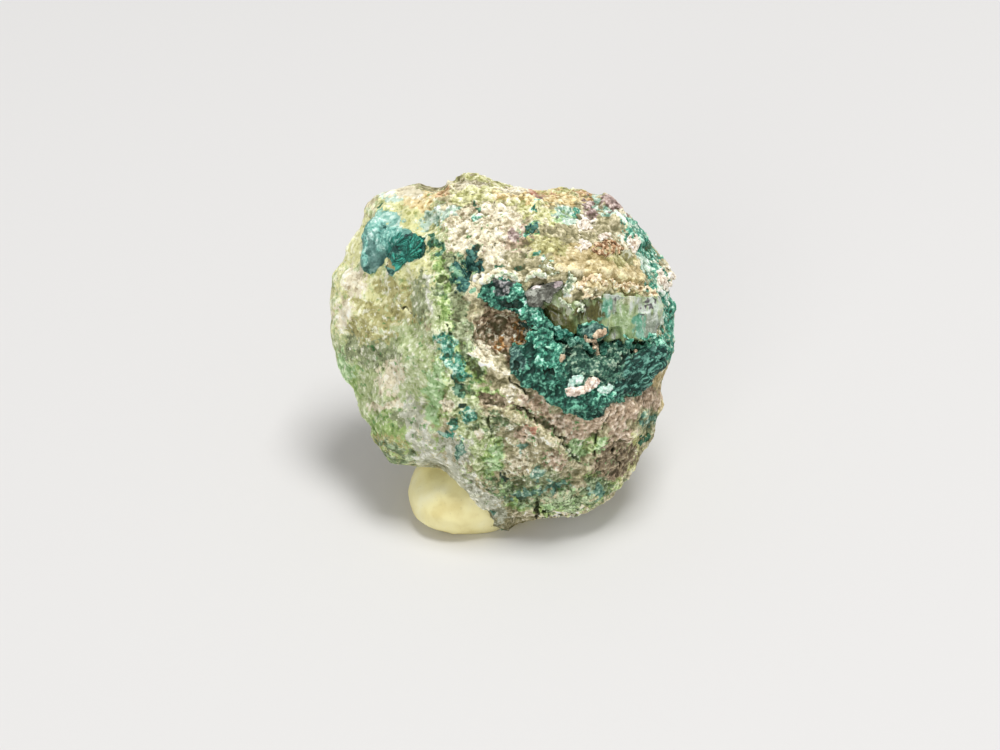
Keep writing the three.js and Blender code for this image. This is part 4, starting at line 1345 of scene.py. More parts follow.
# %% The malachite's material
MALACHITE_TONES = ((0.007, 0.04, 0.028), (0.028, 0.14, 0.095), (0.15, 0.4, 0.29))
MALACHITE_FINISHES = {
    "bright_crests": ((0.014, 0.095, 0.062), (0.075, 0.34, 0.23), (0.44, 0.78, 0.62)),
    "aqua_stem": ((0.025, 0.18, 0.12), (0.15, 0.52, 0.36), (0.64, 0.93, 0.8)),
    "dished_bowl": ((0.012, 0.05, 0.034), (0.055, 0.155, 0.105), (0.33, 0.45, 0.34)),
    "smooth_knobs": ((0.01, 0.04, 0.034), (0.045, 0.12, 0.1), (0.2, 0.35, 0.29)),
    "metal_flakes": ((0.03, 0.038, 0.038), (0.115, 0.125, 0.12), (0.38, 0.37, 0.375)),
    # Painted shade, nearly black, in the holes.
    "shaded_holes": ((0.004, 0.012, 0.006), (0.02, 0.03, 0.012), (0.07, 0.075, 0.035)),
    "streaked_ledge": ((0.006, 0.032, 0.025), (0.025, 0.1, 0.078), (0.13, 0.31, 0.25)),
}
MALACHITE_EDGE = {"raggedness": 1.2}
MALACHITE_GRAIN = (0.8, 0.17)
MALACHITE_GLINTS = {"low": 0.75, "high": 0.95, "start": 0.6, "end": 0.25}
MALACHITE_SHINE = 0.3
# The colour of the painted shade in hollows and pits and of the specks, and the painted highlight.
MALACHITE_SHADE_AND_DIRT = (0.008, 0.042, 0.03, 1)
MALACHITE_HIGHLIGHT = 0.4
FLAKE_METAL = 0.4
LEDGE_STRETCH = (0.16, 1.0, 1.0)
LEDGE_STREAK = 0.3 * MM
LEDGE_RISE = (0.36, 0.66)


def mapped(tree, place, **change):
    """A place that is turned or stretched by a Mapping node."""
    return put(tree, "ShaderNodeMapping", {"Vector": place, **change}).outputs[0]


def layered(tree, grain, ground, finishes, patterns=None, edges=None):
    """A mineral ground with finishes over it, where a finish can have its own pattern and edge."""
    colour = ground_of(tree, grain, ground)
    for name, tones in finishes.items():
        pattern = (patterns or {}).get(name, grain)
        colour = finish_over(tree, colour, kept(tree, name), pattern, tones, **(edges or {}).get(name, {}))
    return colour


def malachite_material():
    """Green in seven finishes, streaked along the ledge."""
    material, tree, shader = new_material("malachite", MALACHITE_SHINE)
    crest = kept(tree, "crest")
    grain = grain_at(tree, MALACHITE_GRAIN, crest)
    turned = mapped(tree, on_the_piece(tree), Rotation=(DISPLAY_ELEVATION, LEDGE_SLOPE, 0))
    streaks = noise_at(tree, mapped(tree, turned, Scale=LEDGE_STRETCH), 1 / LEDGE_STREAK, 4.0)[0]
    streaked = {"Edge Noise 0": grain["Edge Noise 0"], "Pattern": rise(tree, streaks, *LEDGE_RISE)}
    colour = layered(tree, grain, MALACHITE_TONES, MALACHITE_FINISHES, {"streaked_ledge": streaked},
                     dict.fromkeys(MALACHITE_FINISHES, MALACHITE_EDGE))
    colour = with_painted_light_and_specks(tree, colour, crest, kept(tree, "hollow"), grain["Fine"], MALACHITE_SHADE_AND_DIRT,
                       MALACHITE_HIGHLIGHT)
    wear(tree, shader, colour, rise(tree, grain["Cells"], **MALACHITE_GLINTS))
    flakes = reckon(tree, "MULTIPLY", kept(tree, "metal_flakes"), FLAKE_METAL)
    tree.links.new(flakes, shader.inputs["Metallic"])
    ribs = reckon(tree, "MULTIPLY", streaks, kept(tree, "streaked_ledge"))
    roughen(tree, shader, reckon(tree, "ADD", grain["Height"], ribs), strength=0.6, distance=0.07)
    return material


clothe(malachite, malachite_material())
settle(malachite, "malachite", "malachite_crust")

# %% [markdown]
# The blue-green nodules at the upper left are a waxy skin with two fans of fibres at its right. The
# packed lumps are sunk in, narrowed a little and swollen until they run together. Remeshed and
# smoothed at that size, they are shrunk back, which leaves one skin over all of them.

# %% The body of the nodules
NODULE_VOXEL = 0.11 * MM
NODULE_SINK = 0.45 * MM
NODULE_SWELL = 0.3
NODULE_NARROWING = 0.88
NARROWED_TOWARDS = (-7.6 * MM, 0, 0)
RUN_TOGETHER = 1.1
NODULE_MELTING = 30
NODULE_MARKS = {
    "fibre_fans": [((-8.9, 8.8), (1.9, 1.9), -8), ((-8, 9.8), (1.3, 1.2))],
    "pale_skin": [((-10.9, 11), (1.5, 1.8), 10), ((-13, 9.4), (0.25, 2))],
    "blue_shade": [((-12.3, 9.4), (0.7, 1.4), 5), ((-12, 7.9), (1, 0.7), -10)],
    "dark_hem": [
        ((-12.2, 7.2), (1.3, 0.35), -22), ((-10.6, 7), (1, 0.3)),
        ((-9.9, 6.6), (0.4, 0.6)), ((-8.6, 10.7), (0.7, 0.3), 20),
        ((-10.1, 9.2), (0.25, 0.7), -20), ((-8.5, 7.5), (0.9, 0.3), 15),
    ],
    "ochre_hole": [((-10.6, 7.9), (0.5, 0.3), -10), ((-10.1, 7.7), (0.3, 0.25), 40)],
}

nodules = copy_of_node("blue_green_nodules", "waxy_nodules")
sink_into_the_stone(nodules, NODULE_SINK)
in_edit_mode(nodules, lambda: bpy.ops.transform.resize(
    value=(NODULE_NARROWING, 1, 1), center_override=NARROWED_TOWARDS))
remesh(nodules, NODULE_VOXEL)
raise_skin(nodules, RUN_TOGETHER)
remesh(nodules, NODULE_VOXEL)
melt(nodules, NODULE_MELTING)
raise_skin(nodules, NODULE_SWELL - RUN_TOGETHER)
store_marks(nodules, NODULE_MARKS)
print("the nodules span", spans(nodules), "mm")

# %% [markdown]
# The relief is soft on the waxy skin and broken on the fans. For the fibres, each corner keeps its
# angle round the root of the nearer fan and its distance from it. A noise that is read with the
# angle many times finer than the distance then draws ribs that spread as a fan's do. The material
# reads the same numbers, so its stripes run along the ribs.

# %% The relief of the nodules
FANS = [((-10.3, 9.6), 2.4), ((-8.9, 8.6), 2)]
FIBRES_PER_TURN = 90
FIBRE_HEIGHT = 0.22
FAN_SHIFT = 5.0


def store_fans(piece):
    """Keep a vector for each corner: its angle round the nearer fan's root, and its distance."""
    across, up, _ = on_the_face(corners(piece))
    (first, reach), (second, _) = FANS
    nearer = np.hypot(across - first[0], up - first[1]) < np.hypot(across - second[0], up - second[1])
    root_x, root_y = (np.where(nearer, first[axis], second[axis]) for axis in (0, 1))
    angle = np.arctan2(up - root_y, across - root_x) / math.tau * FIBRES_PER_TURN
    distance = np.hypot(across - root_x, up - root_y) / reach
    vectors = np.stack([angle, distance, nearer * FAN_SHIFT], axis=1)
    attribute = piece.data.attributes.new("fan", "FLOAT_VECTOR", "POINT")
    attribute.data.foreach_set("vector", np.ascontiguousarray(vectors, np.float32).ravel())
    return ridges(vectors)


fans = stored(nodules, "fibre_fans")
displace(nodules, SWELLS, 0.4)
displace(nodules, BROKEN, 0.5, where=fans)
displace(nodules, BILLOWS, 0.3, where=np.maximum(fans, stored(nodules, "pale_skin")))
displace(nodules, VELVET, 0.1)
raise_skin(nodules, FIBRE_HEIGHT, fans * store_fans(nodules))
store_crests(nodules)
print("the nodules now span", spans(nodules), "mm")

# %% [markdown]
# The skin is a cloudy blue-green, paler at its top and dark along its lower hem, with one ochre hole
# where the rock shows through. The fans are the deepest green of all. Its hollows get painted shade
# and its crests a painted highlight. The wax has a stronger gloss than anything else on the stone.

# %% The nodules' material
NODULE_TONES = ((0.08, 0.21, 0.175), (0.14, 0.34, 0.28), (0.24, 0.48, 0.4))
NODULE_FINISHES = {
    "blue_shade": ((0.05, 0.13, 0.11), (0.11, 0.24, 0.21), (0.26, 0.44, 0.39)),
    "pale_skin": ((0.09, 0.32, 0.27), (0.28, 0.59, 0.5), (0.7, 0.93, 0.84)),
    "fibre_fans": ((0.005, 0.055, 0.04), (0.012, 0.15, 0.11), (0.06, 0.38, 0.3)),
    "dark_hem": ((0.004, 0.02, 0.018), (0.02, 0.09, 0.075), (0.1, 0.28, 0.22)),
    "ochre_hole": ((0.1, 0.09, 0.03), (0.36, 0.32, 0.14), (0.62, 0.57, 0.32)),
}
NODULE_EDGES = {
    "blue_shade": {"raggedness": 1.2, "softness": 0.3},
    "fibre_fans": {"raggedness": 0.9},
    "dark_hem": {"raggedness": 0.9},
}
NODULE_GRAIN = (1.0, 0.3)
NODULE_GLOSS = {"low": 0.3, "high": 0.7, "start": 0.5, "end": 0.32}
NODULE_SHINE = 0.35
NODULE_SHADE = (0.01, 0.05, 0.04, 1)
NODULE_HIGHLIGHT = 0.4
NO_SPECKS = 0.5
FIBRE_RISE = (0.32, 0.68)
GRAIN_BESIDE_RIBS = 0.3


def nodule_material():
    """Cloudy wax with fans of fibres."""
    material, tree, shader = new_material("waxy_blue_green", NODULE_SHINE)
    crest = kept(tree, "crest")
    grain = grain_at(tree, NODULE_GRAIN, crest)
    fibres = noise_at(tree, kept(tree, "fan", "Vector"), 1.0, 3.0, 0.6)[0]
    ribbed = {"Edge Noise 0": grain["Edge Noise 0"], "Pattern": rise(tree, fibres, *FIBRE_RISE)}
    colour = layered(tree, grain, NODULE_TONES, NODULE_FINISHES, {"fibre_fans": ribbed},
                     NODULE_EDGES)
    colour = with_painted_light_and_specks(tree, colour, crest, kept(tree, "hollow"), NO_SPECKS, NODULE_SHADE,
                       NODULE_HIGHLIGHT)
    wear(tree, shader, colour, rise(tree, grain["Fine"], **NODULE_GLOSS))
    ribs = reckon(tree, "MULTIPLY", fibres, kept(tree, "fibre_fans"))
    height = reckon(tree, "ADD", reckon(tree, "MULTIPLY", grain["Height"], GRAIN_BESIDE_RIBS), ribs)
    roughen(tree, shader, height, strength=0.6, distance=0.1)
    return material


clothe(nodules, nodule_material())
settle(nodules, "blue_green_crust", "blue_green_nodules")

# %% [markdown]
# The step above the malachite is hung with crystals that have grown into one mass. Each one starts
# as a six-sided cylinder that is drawn in towards its tip in edit mode, and is rolled a little, so
# that an edge and not a flat side looks out. A fine voxel remesh runs them together, and smoothing
# rounds their edges. Zones of colour then make the olive block, the yellow-green wedge, the aqua
# blades and the frosted grey end; the olive block is olive crystal darkened with painted shade, and
# the brown zone beside and below it is painted shade, from the shelf above. A crystal's place is
# across, up and out, and its size is width, length and depth, in mm; it is turned and rolled in
# degrees, and its tip is a share of its width.

# %% The crystals of the step
STEP_CRYSTALS = [
    {"at": (5.3, 2.8, 6.9), "size": (3.4, 3, 2.2), "turn": 14, "roll": 20, "tip": 0.8},
    {"at": (7.8, 3.3, 6.3), "size": (3.4, 3, 1.7), "turn": -12, "roll": 40, "tip": 0.8},
    {"at": (6.6, 3.2, 6.1), "size": (5.6, 3.8, 1.4), "turn": -6, "roll": 30, "tip": 0.9},
    {"at": (4.7, 4.6, 7.6), "size": (2.9, 2.4, 1.6), "turn": 50, "roll": 15, "tip": 0.6},
    {"at": (5.6, 4.5, 7.3), "size": (2.4, 3, 1.6), "turn": 50, "roll": 35, "tip": 0.7},
    {"at": (9.3, 3.6, 6.6), "size": (2.2, 3.2, 1.7), "turn": -10, "roll": 25, "tip": 0.6},
    {"at": (10.2, 3.7, 6.5), "size": (2, 3, 1.6), "turn": 6, "roll": 10, "tip": 0.7},
    {"at": (11.2, 2.8, 6.5), "size": (3, 4.4, 2.2), "turn": -3, "roll": 22, "tip": 0.3},
    {"at": (12.5, 2.2, 6), "size": (1.9, 2.5, 1.7), "turn": 8, "roll": 10, "tip": 0.5},
    {"at": (13.5, 2.5, 5.5), "size": (1.6, 2.7, 1.8), "turn": -8, "roll": 30, "tip": 0.7},
    {"at": (12.9, 3.9, 5.4), "size": (2.2, 2.6, 2), "turn": 70, "roll": 12, "tip": 0.8},
    {"at": (13.9, 3.6, 4.9), "size": (1.4, 2.6, 1.7), "turn": 14, "roll": 40, "tip": 0.7},
    {"at": (11.4, 3, 5.6), "size": (5.4, 3.8, 1.9), "turn": 2, "roll": 30, "tip": 0.9},
]
STEP_ZONES = {
    # The olive block is olive crystal darkened with painted shade; the brown shade is painted shade.
    "olive_block": [((5.2, 2.5), (1.8, 1.4), -18), ((7.9, 3.2), (1.3, 0.9))],
    "brown_shade": [((7.7, 3.7), (1.2, 0.7), 10), ((5.4, 1.4), (1.5, 0.5), -20),
                    ((4.4, 3.6), (0.7, 0.5), -40)],
    "aqua_glass": [((9.5, 4), (0.55, 1.1), -8), ((12.4, 2.2), (0.7, 1.2), 8)],
    "grey_stripes": [((13.6, 2.4), (0.7, 1.6)), ((10, 4.4), (0.5, 1))],
    "wedge_heart": [((10.9, 2.6), (0.9, 1.9), 10)],
    "milky_ridge": [((5.7, 4.1), (0.9, 0.3), -38), ((11.4, 4.6), (0.8, 0.4))],
    "frost": [((13.1, 4.3), (1.7, 0.9)), ((10, 5.2), (1.1, 0.4)),
              ((14.3, 3.2), (0.4, 1.6))],
    "violet_spots": [
        ((12.9, 4.5), (0.25, 0.3)), ((13.2, 4), (0.25, 0.15), 30),
        ((12.6, 3.2), (0.25, 0.1)), ((12.3, 4.1), (0.1, 0.12)),
        ((13.7, 4.7), (0.1, 0.25)), ((10, 4.7), (0.12, 0.25)),
    ],
}
ZONE_COVERS = {"frost": 0.7, "violet_spots": 0.9}
CRYSTAL_VOXEL = 0.085 * MM
CRYSTAL_SIDES = 6
CRYSTAL_MELTING = 10


def at_sight(across, up, out):
    """The place that is seen so far across and up the display face, at this distance out, in mm."""
    shrink = 1 - out / EYE_DISTANCE
    return HEART + (ACROSS * across * shrink + UP * up * shrink + OUT * out) * MM


FACE_FRAME = Matrix((ACROSS, UP, OUT)).transposed().to_4x4()


def primitive_at_zero(name, add):
    """A new object from a primitive that is added at the origin."""
    nothing_selected()
    add()
    bpy.context.object.name = name
    return bpy.context.object


def crystal_shape(at, size, turn, roll, tip):
    """One six-sided crystal, its tip down, in its place on the display face."""
    shape = primitive_at_zero("crystal", lambda: bpy.ops.mesh.primitive_cylinder_add(
        vertices=CRYSTAL_SIDES, radius=0.5, depth=1))
    lower = [corner.co.z < 0 for corner in shape.data.vertices]
    bpy.ops.object.mode_set(mode="EDIT")
    bpy.ops.mesh.select_all(action="DESELECT")
    bpy.ops.mesh.select_mode(type="VERT")
    bpy.ops.object.mode_set(mode="OBJECT")
    shape.data.vertices.foreach_set("select", lower)
    bpy.ops.object.mode_set(mode="EDIT")
    bpy.ops.transform.resize(value=(tip, tip, 1))
    bpy.ops.object.mode_set(mode="OBJECT")
    width, length, depth = (side * MM for side in size)
    upright = Matrix.Rotation(-math.pi / 2, 4, "X") @ Matrix.Rotation(math.radians(roll), 4, "Z")
    sized = Matrix.Diagonal((width, length, depth, 1))
    slope = Matrix.Rotation(math.radians(turn), 4, "Z")
    shape.data.transform(Matrix.Translation(at_sight(*at)) @ FACE_FRAME @ slope @ sized @ upright)
    return shape


def join_pieces(name, shapes):
    """One object from several."""
    only(shapes[0])
    for shape in shapes:
        shape.select_set(True)
    if len(shapes) > 1:
        bpy.ops.object.join()
    shapes[0].name = name
    return shapes[0]


print(len(STEP_CRYSTALS), "crystals in", len(STEP_ZONES), "zones of colour")

# %% [markdown]
# The crystals are see-through, so they take plain transmission and index of refraction values. They
# are cloudy too, and striped along their length as they grew, so most of their colour comes from
# the surface. The stripes are a noise that is stretched up the display face. Frost is rougher than
# clear crystal, so its mask drives the roughness.

# %% The crystals' material, and their growth
CRYSTAL_TONES = {
    "yellow_green": ((0.22, 0.29, 0.1), (0.5, 0.62, 0.3), (0.84, 0.92, 0.64)),
    "shelf": ((0.16, 0.15, 0.055), (0.38, 0.36, 0.16), (0.72, 0.7, 0.45)),
    # Olive crystal darkened with painted shade, and the brown painted shade under the shelf.
    "olive_block": ((0.05, 0.045, 0.008), (0.14, 0.135, 0.034), (0.31, 0.31, 0.12)),
    "brown_shade": ((0.05, 0.042, 0.01), (0.13, 0.12, 0.03), (0.28, 0.27, 0.1)),
    "aqua_glass": ((0.05, 0.2, 0.12), (0.17, 0.47, 0.31), (0.52, 0.8, 0.63)),
    "grey_stripes": ((0.09, 0.11, 0.08), (0.34, 0.39, 0.3), (0.78, 0.82, 0.7)),
    "wedge_heart": ((0.18, 0.28, 0.09), (0.38, 0.52, 0.24), (0.66, 0.8, 0.48)),
    "milky_ridge": ((0.4, 0.42, 0.22), (0.76, 0.78, 0.54), (0.95, 0.95, 0.84)),
    "frost": ((0.31, 0.38, 0.31), (0.64, 0.73, 0.62), (0.91, 0.95, 0.88)),
    "violet_spots": ((0.02, 0.016, 0.022), (0.09, 0.075, 0.09), (0.34, 0.29, 0.31)),
}
CRYSTAL_IOR = 1.54
CRYSTAL_TRANSMISSION = 0.25
CRYSTAL_ROUGHNESS = 0.14
FROST_ROUGHNESS = 0.7
FROST_RISE = (0.2, 0.6)
CRYSTAL_GRAIN = (0.9, 0.22)
STRIPE_STRETCH = (1.0, 0.2, 0.2)
STRIPE_SIZE = 0.35 * MM
STRIPE_RISE = (0.25, 0.75)
STRIPE_SHARE = 0.35
VEIN_SHARE = 0.7
ZONE_EDGE = {"raggedness": 2.2, "softness": 0.3}


def crystal_material(name, ground, zones):
    """Tinted clear crystal, striped along its length, in zones of different colours."""
    material, tree, shader = new_material(name)
    grain = grain_at(tree, CRYSTAL_GRAIN)
    turned = mapped(tree, on_the_piece(tree), Rotation=(DISPLAY_ELEVATION, 0, 0),
                    Scale=STRIPE_STRETCH)
    stripes = noise_at(tree, turned, 1 / STRIPE_SIZE, 4.0)[0]
    striped = reckon(tree, "MULTIPLY", rise(tree, stripes, *STRIPE_RISE), STRIPE_SHARE)
    veins = reckon(tree, "MULTIPLY", grain["Pattern"], VEIN_SHARE)
    veined = {"Pattern": reckon(tree, "ADD", veins, striped), "Edge Noise 0": stripes}
    colour = layered(tree, veined, CRYSTAL_TONES[ground], {zone: CRYSTAL_TONES[zone] for zone in zones},
                     edges=dict.fromkeys(zones, ZONE_EDGE))
    frosting = rise(tree, kept(tree, "frost"), *FROST_RISE, CRYSTAL_ROUGHNESS, FROST_ROUGHNESS)
    wear(tree, shader, colour, frosting)
    shader.inputs["Transmission Weight"].default_value = CRYSTAL_TRANSMISSION
    shader.inputs["IOR"].default_value = CRYSTAL_IOR
    roughen(tree, shader, reckon(tree, "ADD", grain["Fine"], stripes), strength=0.35, distance=0.06)
    return material


def grown_crystals(name, shapes, ground, zones):
    """Crystals that have grown into each other, with their material."""
    crystals = join_pieces(name, [crystal_shape(**shape) for shape in shapes])
    remesh(crystals, CRYSTAL_VOXEL)
    melt(crystals, CRYSTAL_MELTING)
    displace(crystals, SWELLS, 0.7)
    displace(crystals, BROKEN, 0.15)
    store_marks(crystals, zones, ZONE_COVERS)
    clothe(crystals, crystal_material(name, ground, zones))
    return crystals


step_crystals = grown_crystals("step_crystals_clear", STEP_CRYSTALS, "yellow_green", STEP_ZONES)
settle(step_crystals, "pale_green_crystal", "step_crystals")

# %% [markdown]
# Two more crystals lie half buried in the tan shelf above. They are made the same way, but stand
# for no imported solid, so they only ride with the stone. They have no frost, but the material reads
# its mask, so it is kept empty.

# %% The crystals of the shelf
SHELF_CRYSTALS = [
    {"at": (11, 8.3, 4), "size": (1.9, 2, 1.5), "turn": 12, "roll": 15, "tip": 0.8},
    {"at": (4, 7.3, 7.5), "size": (1.8, 1.5, 1.3), "turn": 60, "roll": 15, "tip": 0.8},
]
SHELF_ZONES = {
    "milky_ridge": [((11.3, 8.9), (0.6, 0.3)), ((3.6, 7.8), (0.6, 0.3))],
    "frost": [],
}
settle(grown_crystals("shelf_crystals", SHELF_CRYSTALS, "shelf", SHELF_ZONES), "pale_green_crystal")

# %% [markdown]
# Small growths sit on top of the rest: thin walls and bunches. Both are made of little balls that
# are joined and remeshed, so that they run together. A ball has few faces, because there are
# hundreds and the remesh makes new ones anyway. A ray from the eye finds where each ball touches
# the surface below. The crust of such a growth is dull and grainy, in three tones.

# %% Balls that run together
CLUSTER_VOXEL = 0.09 * MM
BALL_FACES = {"segments": 8, "ring_count": 6}
CRUST_GRAIN = (0.7, 0.2)
CRUST_HIGHLIGHT = 0.3
CRUST_GLINTS = {"low": 0.8, "high": 0.95, "start": 0.75, "end": 0.35}


def surface_of(*pieces):
    """A search tree over the triangles of one or more pieces."""
    places, faces, first = [], [], 0
    for piece in pieces:
        piece.data.calc_loop_triangles()
        places.append(corners(piece))
        faces.append(rows_of(piece.data.loop_triangles, "vertices", 3, np.int32) + first)
        first += len(places[-1])
    return BVHTree.FromPolygons(np.vstack(places).tolist(), np.vstack(faces).tolist())


def seen_on(surface, across, up):
    """The point of a surface that is seen there, and the way it faces."""
    place, normal, _, _ = surface.ray_cast(EYE, (at_sight(across, up, 0) - EYE).normalized())
    return place, normal


def melted_balls(name, balls, crumble=1.0):
    """One lumpy piece from balls that are given as middles in metres and radii in mm."""
    shapes = []
    for middle, radius in balls:
        shape = primitive_at_zero("ball", lambda: bpy.ops.mesh.primitive_uv_sphere_add(
            radius=radius * MM, **BALL_FACES))
        shape.data.transform(Matrix.Translation(middle))
        shapes.append(shape)
    piece = join_pieces(name, shapes)
    remesh(piece, CLUSTER_VOXEL)
    melt(piece, 1)
    displace(piece, BILLOWS, 0.35 * crumble)
    displace(piece, SMALL_CLASTS, 0.22 * crumble)
    displace(piece, FINE_GRAIN, 0.14)
    store_crests(piece)
    return piece


def crust_material(name, tones):
    """A dull, grainy crust in three tones, with painted shade in its hollows and a painted highlight on
    its crests.
    """
    material, tree, shader = new_material(name, STONE_SHINE)
    crest = kept(tree, "crest")
    grain = grain_at(tree, CRUST_GRAIN, crest)
    colour = ground_of(tree, grain, tones)
    # Its darkest tone serves as the painted shade in hollows and pits, and as its specks.
    colour = with_painted_light_and_specks(tree, colour, crest, kept(tree, "hollow"), grain["Fine"], opaque(tones[0]),
                       CRUST_HIGHLIGHT)
    wear(tree, shader, colour, rise(tree, grain["Cells"], **CRUST_GLINTS))
    roughen(tree, shader, grain["Height"], strength=0.6, distance=0.05)
    return material


GROWN_SO_FAR = surface_of(stone, malachite, step_crystals)
seen_at = GROWN_SO_FAR.ray_cast(EYE, -OUT)[3]
print("the eye meets the grown surface after", round(seen_at / MM, 1), "mm")

# %% [markdown]
# A thin wall of crystals follows an edge: pale ones round the step, a curl and a brim of malachite.
# A wall is a row of balls along a path, stacked towards the eye to an uneven height. The malachite
# filling is made in the same way, and fills the caves that the relief has left under the step.

# %% The walls
WALLS = {
    "pale_walls": {
        "paths": [
            [(5.8, 7.2), (6.2, 6.6), (6.1, 5.8), (5.6, 5.3)], [(5.9, 6.8), (5.8, 6), (5.3, 5.4)],
            [(4.9, 4.8), (5.7, 4.4), (6.2, 3.7)], [(6.5, 4.5), (7.1, 4.4), (7.1, 3.8), (6.6, 3.7)],
            [(-1.4, 6.6), (-0.6, 7.1), (0.6, 7), (1.3, 6.5)],
            [(2, 6.6), (2.9, 7.1), (4, 6.9), (5.2, 7.3)]],
        "radius": 0.24, "stack": 3, "slot": "blue_green_crust",
        "tones": ((0.22, 0.32, 0.2), (0.58, 0.66, 0.46), (0.9, 0.92, 0.78))},
    "malachite_curl": {
        "paths": [
            [(12.8, 0.9), (13.3, 1.5), (14, 1.4), (14.5, 0.8)],
            [(10.9, 1.3), (11.5, 0.9), (12.2, 0.9), (12.7, 1.3)]],
        "radius": 0.2, "stack": 3,
        "tones": ((0.01, 0.08, 0.05), (0.06, 0.3, 0.2), (0.5, 0.8, 0.66))},
    "malachite_filling": {
        "paths": [
            [(6.9, 0.9), (7.7, 0.5), (8.6, 0.3), (9.4, 0.6)], [(7.2, 0.4), (8.4, 0), (9.2, 0.1)],
            [(11.2, 0.6), (11.9, 0.3)], [(5, 1.3), (5.8, 1), (6.4, 0.7)]],
        "radius": 0.42, "stack": 5,
        "tones": ((0.008, 0.045, 0.032), (0.035, 0.15, 0.105), (0.22, 0.44, 0.34))},
    "malachite_brim": {
        "paths": [
            [(4.1, 2.5), (5, 1.9), (5.9, 1.5), (6.8, 1)], [(4.3, 2), (5.2, 1.5), (6.6, 0.8)],
            [(4.6, 1.5), (5.4, 1.1), (6.2, 0.7)]],
        "radius": 0.32, "stack": 4,
        "tones": ((0.008, 0.06, 0.042), (0.045, 0.23, 0.165), (0.34, 0.64, 0.53))},
}
BALL_SPACING = 0.16
WALL_SHAKE = 0.12
WALL_SIZES = (0.5, 1.2)


def wall(name, surface, paths, radius, stack):
    """Balls along paths, stacked towards the eye to an uneven height."""
    dice = random.Random(name)
    balls = []
    for path in paths:
        for (x0, y0), (x1, y1) in zip(path, path[1:]):
            steps = max(1, round(math.hypot(x1 - x0, y1 - y0) / BALL_SPACING))
            for step in range(steps):
                share = step / steps
                shake = [dice.uniform(-WALL_SHAKE, WALL_SHAKE) for _ in range(2)]
                place, _ = seen_on(surface, x0 + (x1 - x0) * share + shake[0],
                                   y0 + (y1 - y0) * share + shake[1])
                size = radius * dice.uniform(*WALL_SIZES)
                height = dice.randint(1, stack)
                balls += [(place + OUT * level * size * MM, size) for level in range(height)]
    return melted_balls(name, balls)


walls = []
for name, look in WALLS.items():
    walls.append(wall(name, GROWN_SO_FAR, look["paths"], look["radius"], look["stack"]))
    clothe(walls[-1], crust_material(name, look["tones"]))
    settle(walls[-1], look.get("slot", "malachite"))

# %% [markdown]
# The bunches come after the walls, because some of them sit on a wall: a brown one like grapes,
# white and tan rosettes, a tan figure, pink and white lumps on the malachite, and two small aqua
# fans. A bunch is many balls at random places inside its spots. The draws are seeded, so the same
# bunch grows each time, and the balls get smaller towards a spot's rim. A large spot gets more.

# %% The bunches
CLUSTERS = {
    "brown_bunch": {
        "spots": [((9.4, 9.4), (1.5, 0.7), 0)], "balls": 48, "radius": (0.2, 0.32),
        "tones": ((0.11, 0.045, 0.018), (0.46, 0.27, 0.14), (0.86, 0.68, 0.48))},
    "white_rosettes": {
        "spots": [
            ((7.15, 9.6), (0.7, 0.55), 0), ((7.4, 11.7), (0.9, 0.7), 0), ((9.1, 10.3), (0.7, 0.4), 0),
            ((14.8, 6.8), (0.9, 1.3), 0), ((11.7, 9.8), (0.6, 0.9), 0)],
        "balls": 140, "radius": (0.2, 0.38), "crumble": 0.8,
        "tones": ((0.46, 0.34, 0.24), (0.84, 0.76, 0.64), (0.96, 0.92, 0.85))},
    "tan_rosettes": {
        "spots": [
            ((8, 6.7), (0.9, 0.5), 0), ((9.6, 6.2), (1, 0.5), -8), ((11.6, 5.8), (1.2, 0.5), -8),
            ((6.9, 6), (0.5, 0.4), 0), ((7.9, 5.2), (0.9, 0.5), 0), ((13.2, 5.4), (0.9, 0.4), -20)],
        "balls": 130, "radius": (0.16, 0.32),
        "tones": ((0.38, 0.25, 0.13), (0.88, 0.71, 0.46), (0.97, 0.91, 0.74))},
    "tan_figure": {
        "spots": [
            ((8.7, 1.6), (0.6, 0.35), 25), ((7.5, 1.2), (0.3, 0.2), -35), ((8.1, 0.95), (0.4, 0.2), 0),
            ((8.3, 0.4), (0.22, 0.4), 0), ((8.45, -0.2), (0.12, 0.15), 0), ((5.3, -0.6), (0.25, 0.4), 0),
            ((12, 0), (0.15, 0.15), 0)],
        "balls": 120, "radius": (0.16, 0.27), "crumble": 0.9,
        "tones": ((0.26, 0.16, 0.09), (0.6, 0.45, 0.3), (0.84, 0.7, 0.54))},
    "pink_white_lumps": {
        "spots": [
            ((6.3, -3.7), (0.8, 0.42), 8), ((8, -2.9), (0.7, 0.5), 25), ((7.3, -3.5), (0.4, 0.3), 0)],
        "balls": 110, "radius": (0.16, 0.32),
        "tones": ((0.55, 0.4, 0.3), (0.9, 0.74, 0.63), (0.97, 0.92, 0.86))},
    "aqua_fan": {
        "spots": [
            ((6.5, -2.7), (0.9, 0.35), 35), ((9.2, -3.5), (0.8, 0.35), 20)],
        "balls": 60, "radius": (0.18, 0.3), "crumble": 0.7, "slot": "blue_green_crust",
        "tones": ((0.22, 0.5, 0.4), (0.56, 0.8, 0.68), (0.86, 0.95, 0.88))},
}
BALL_SINK = 0.35
BALL_TAPER = (1.2, 0.5)


def in_a_spot(dice, spots):
    """A random place inside one of the spots, and its distance from the middle as a share."""
    weights = [half[0] * half[1] for _, half, _ in spots]
    (mid_across, mid_up), (half_across, half_up), turn = dice.choices(spots, weights)[0]
    angle, reach = dice.uniform(0, math.tau), math.sqrt(dice.random())
    along, aside = reach * half_across * math.cos(angle), reach * half_up * math.sin(angle)
    slope = math.radians(turn)
    return (mid_across + along * math.cos(slope) - aside * math.sin(slope),
            mid_up + along * math.sin(slope) + aside * math.cos(slope), reach)


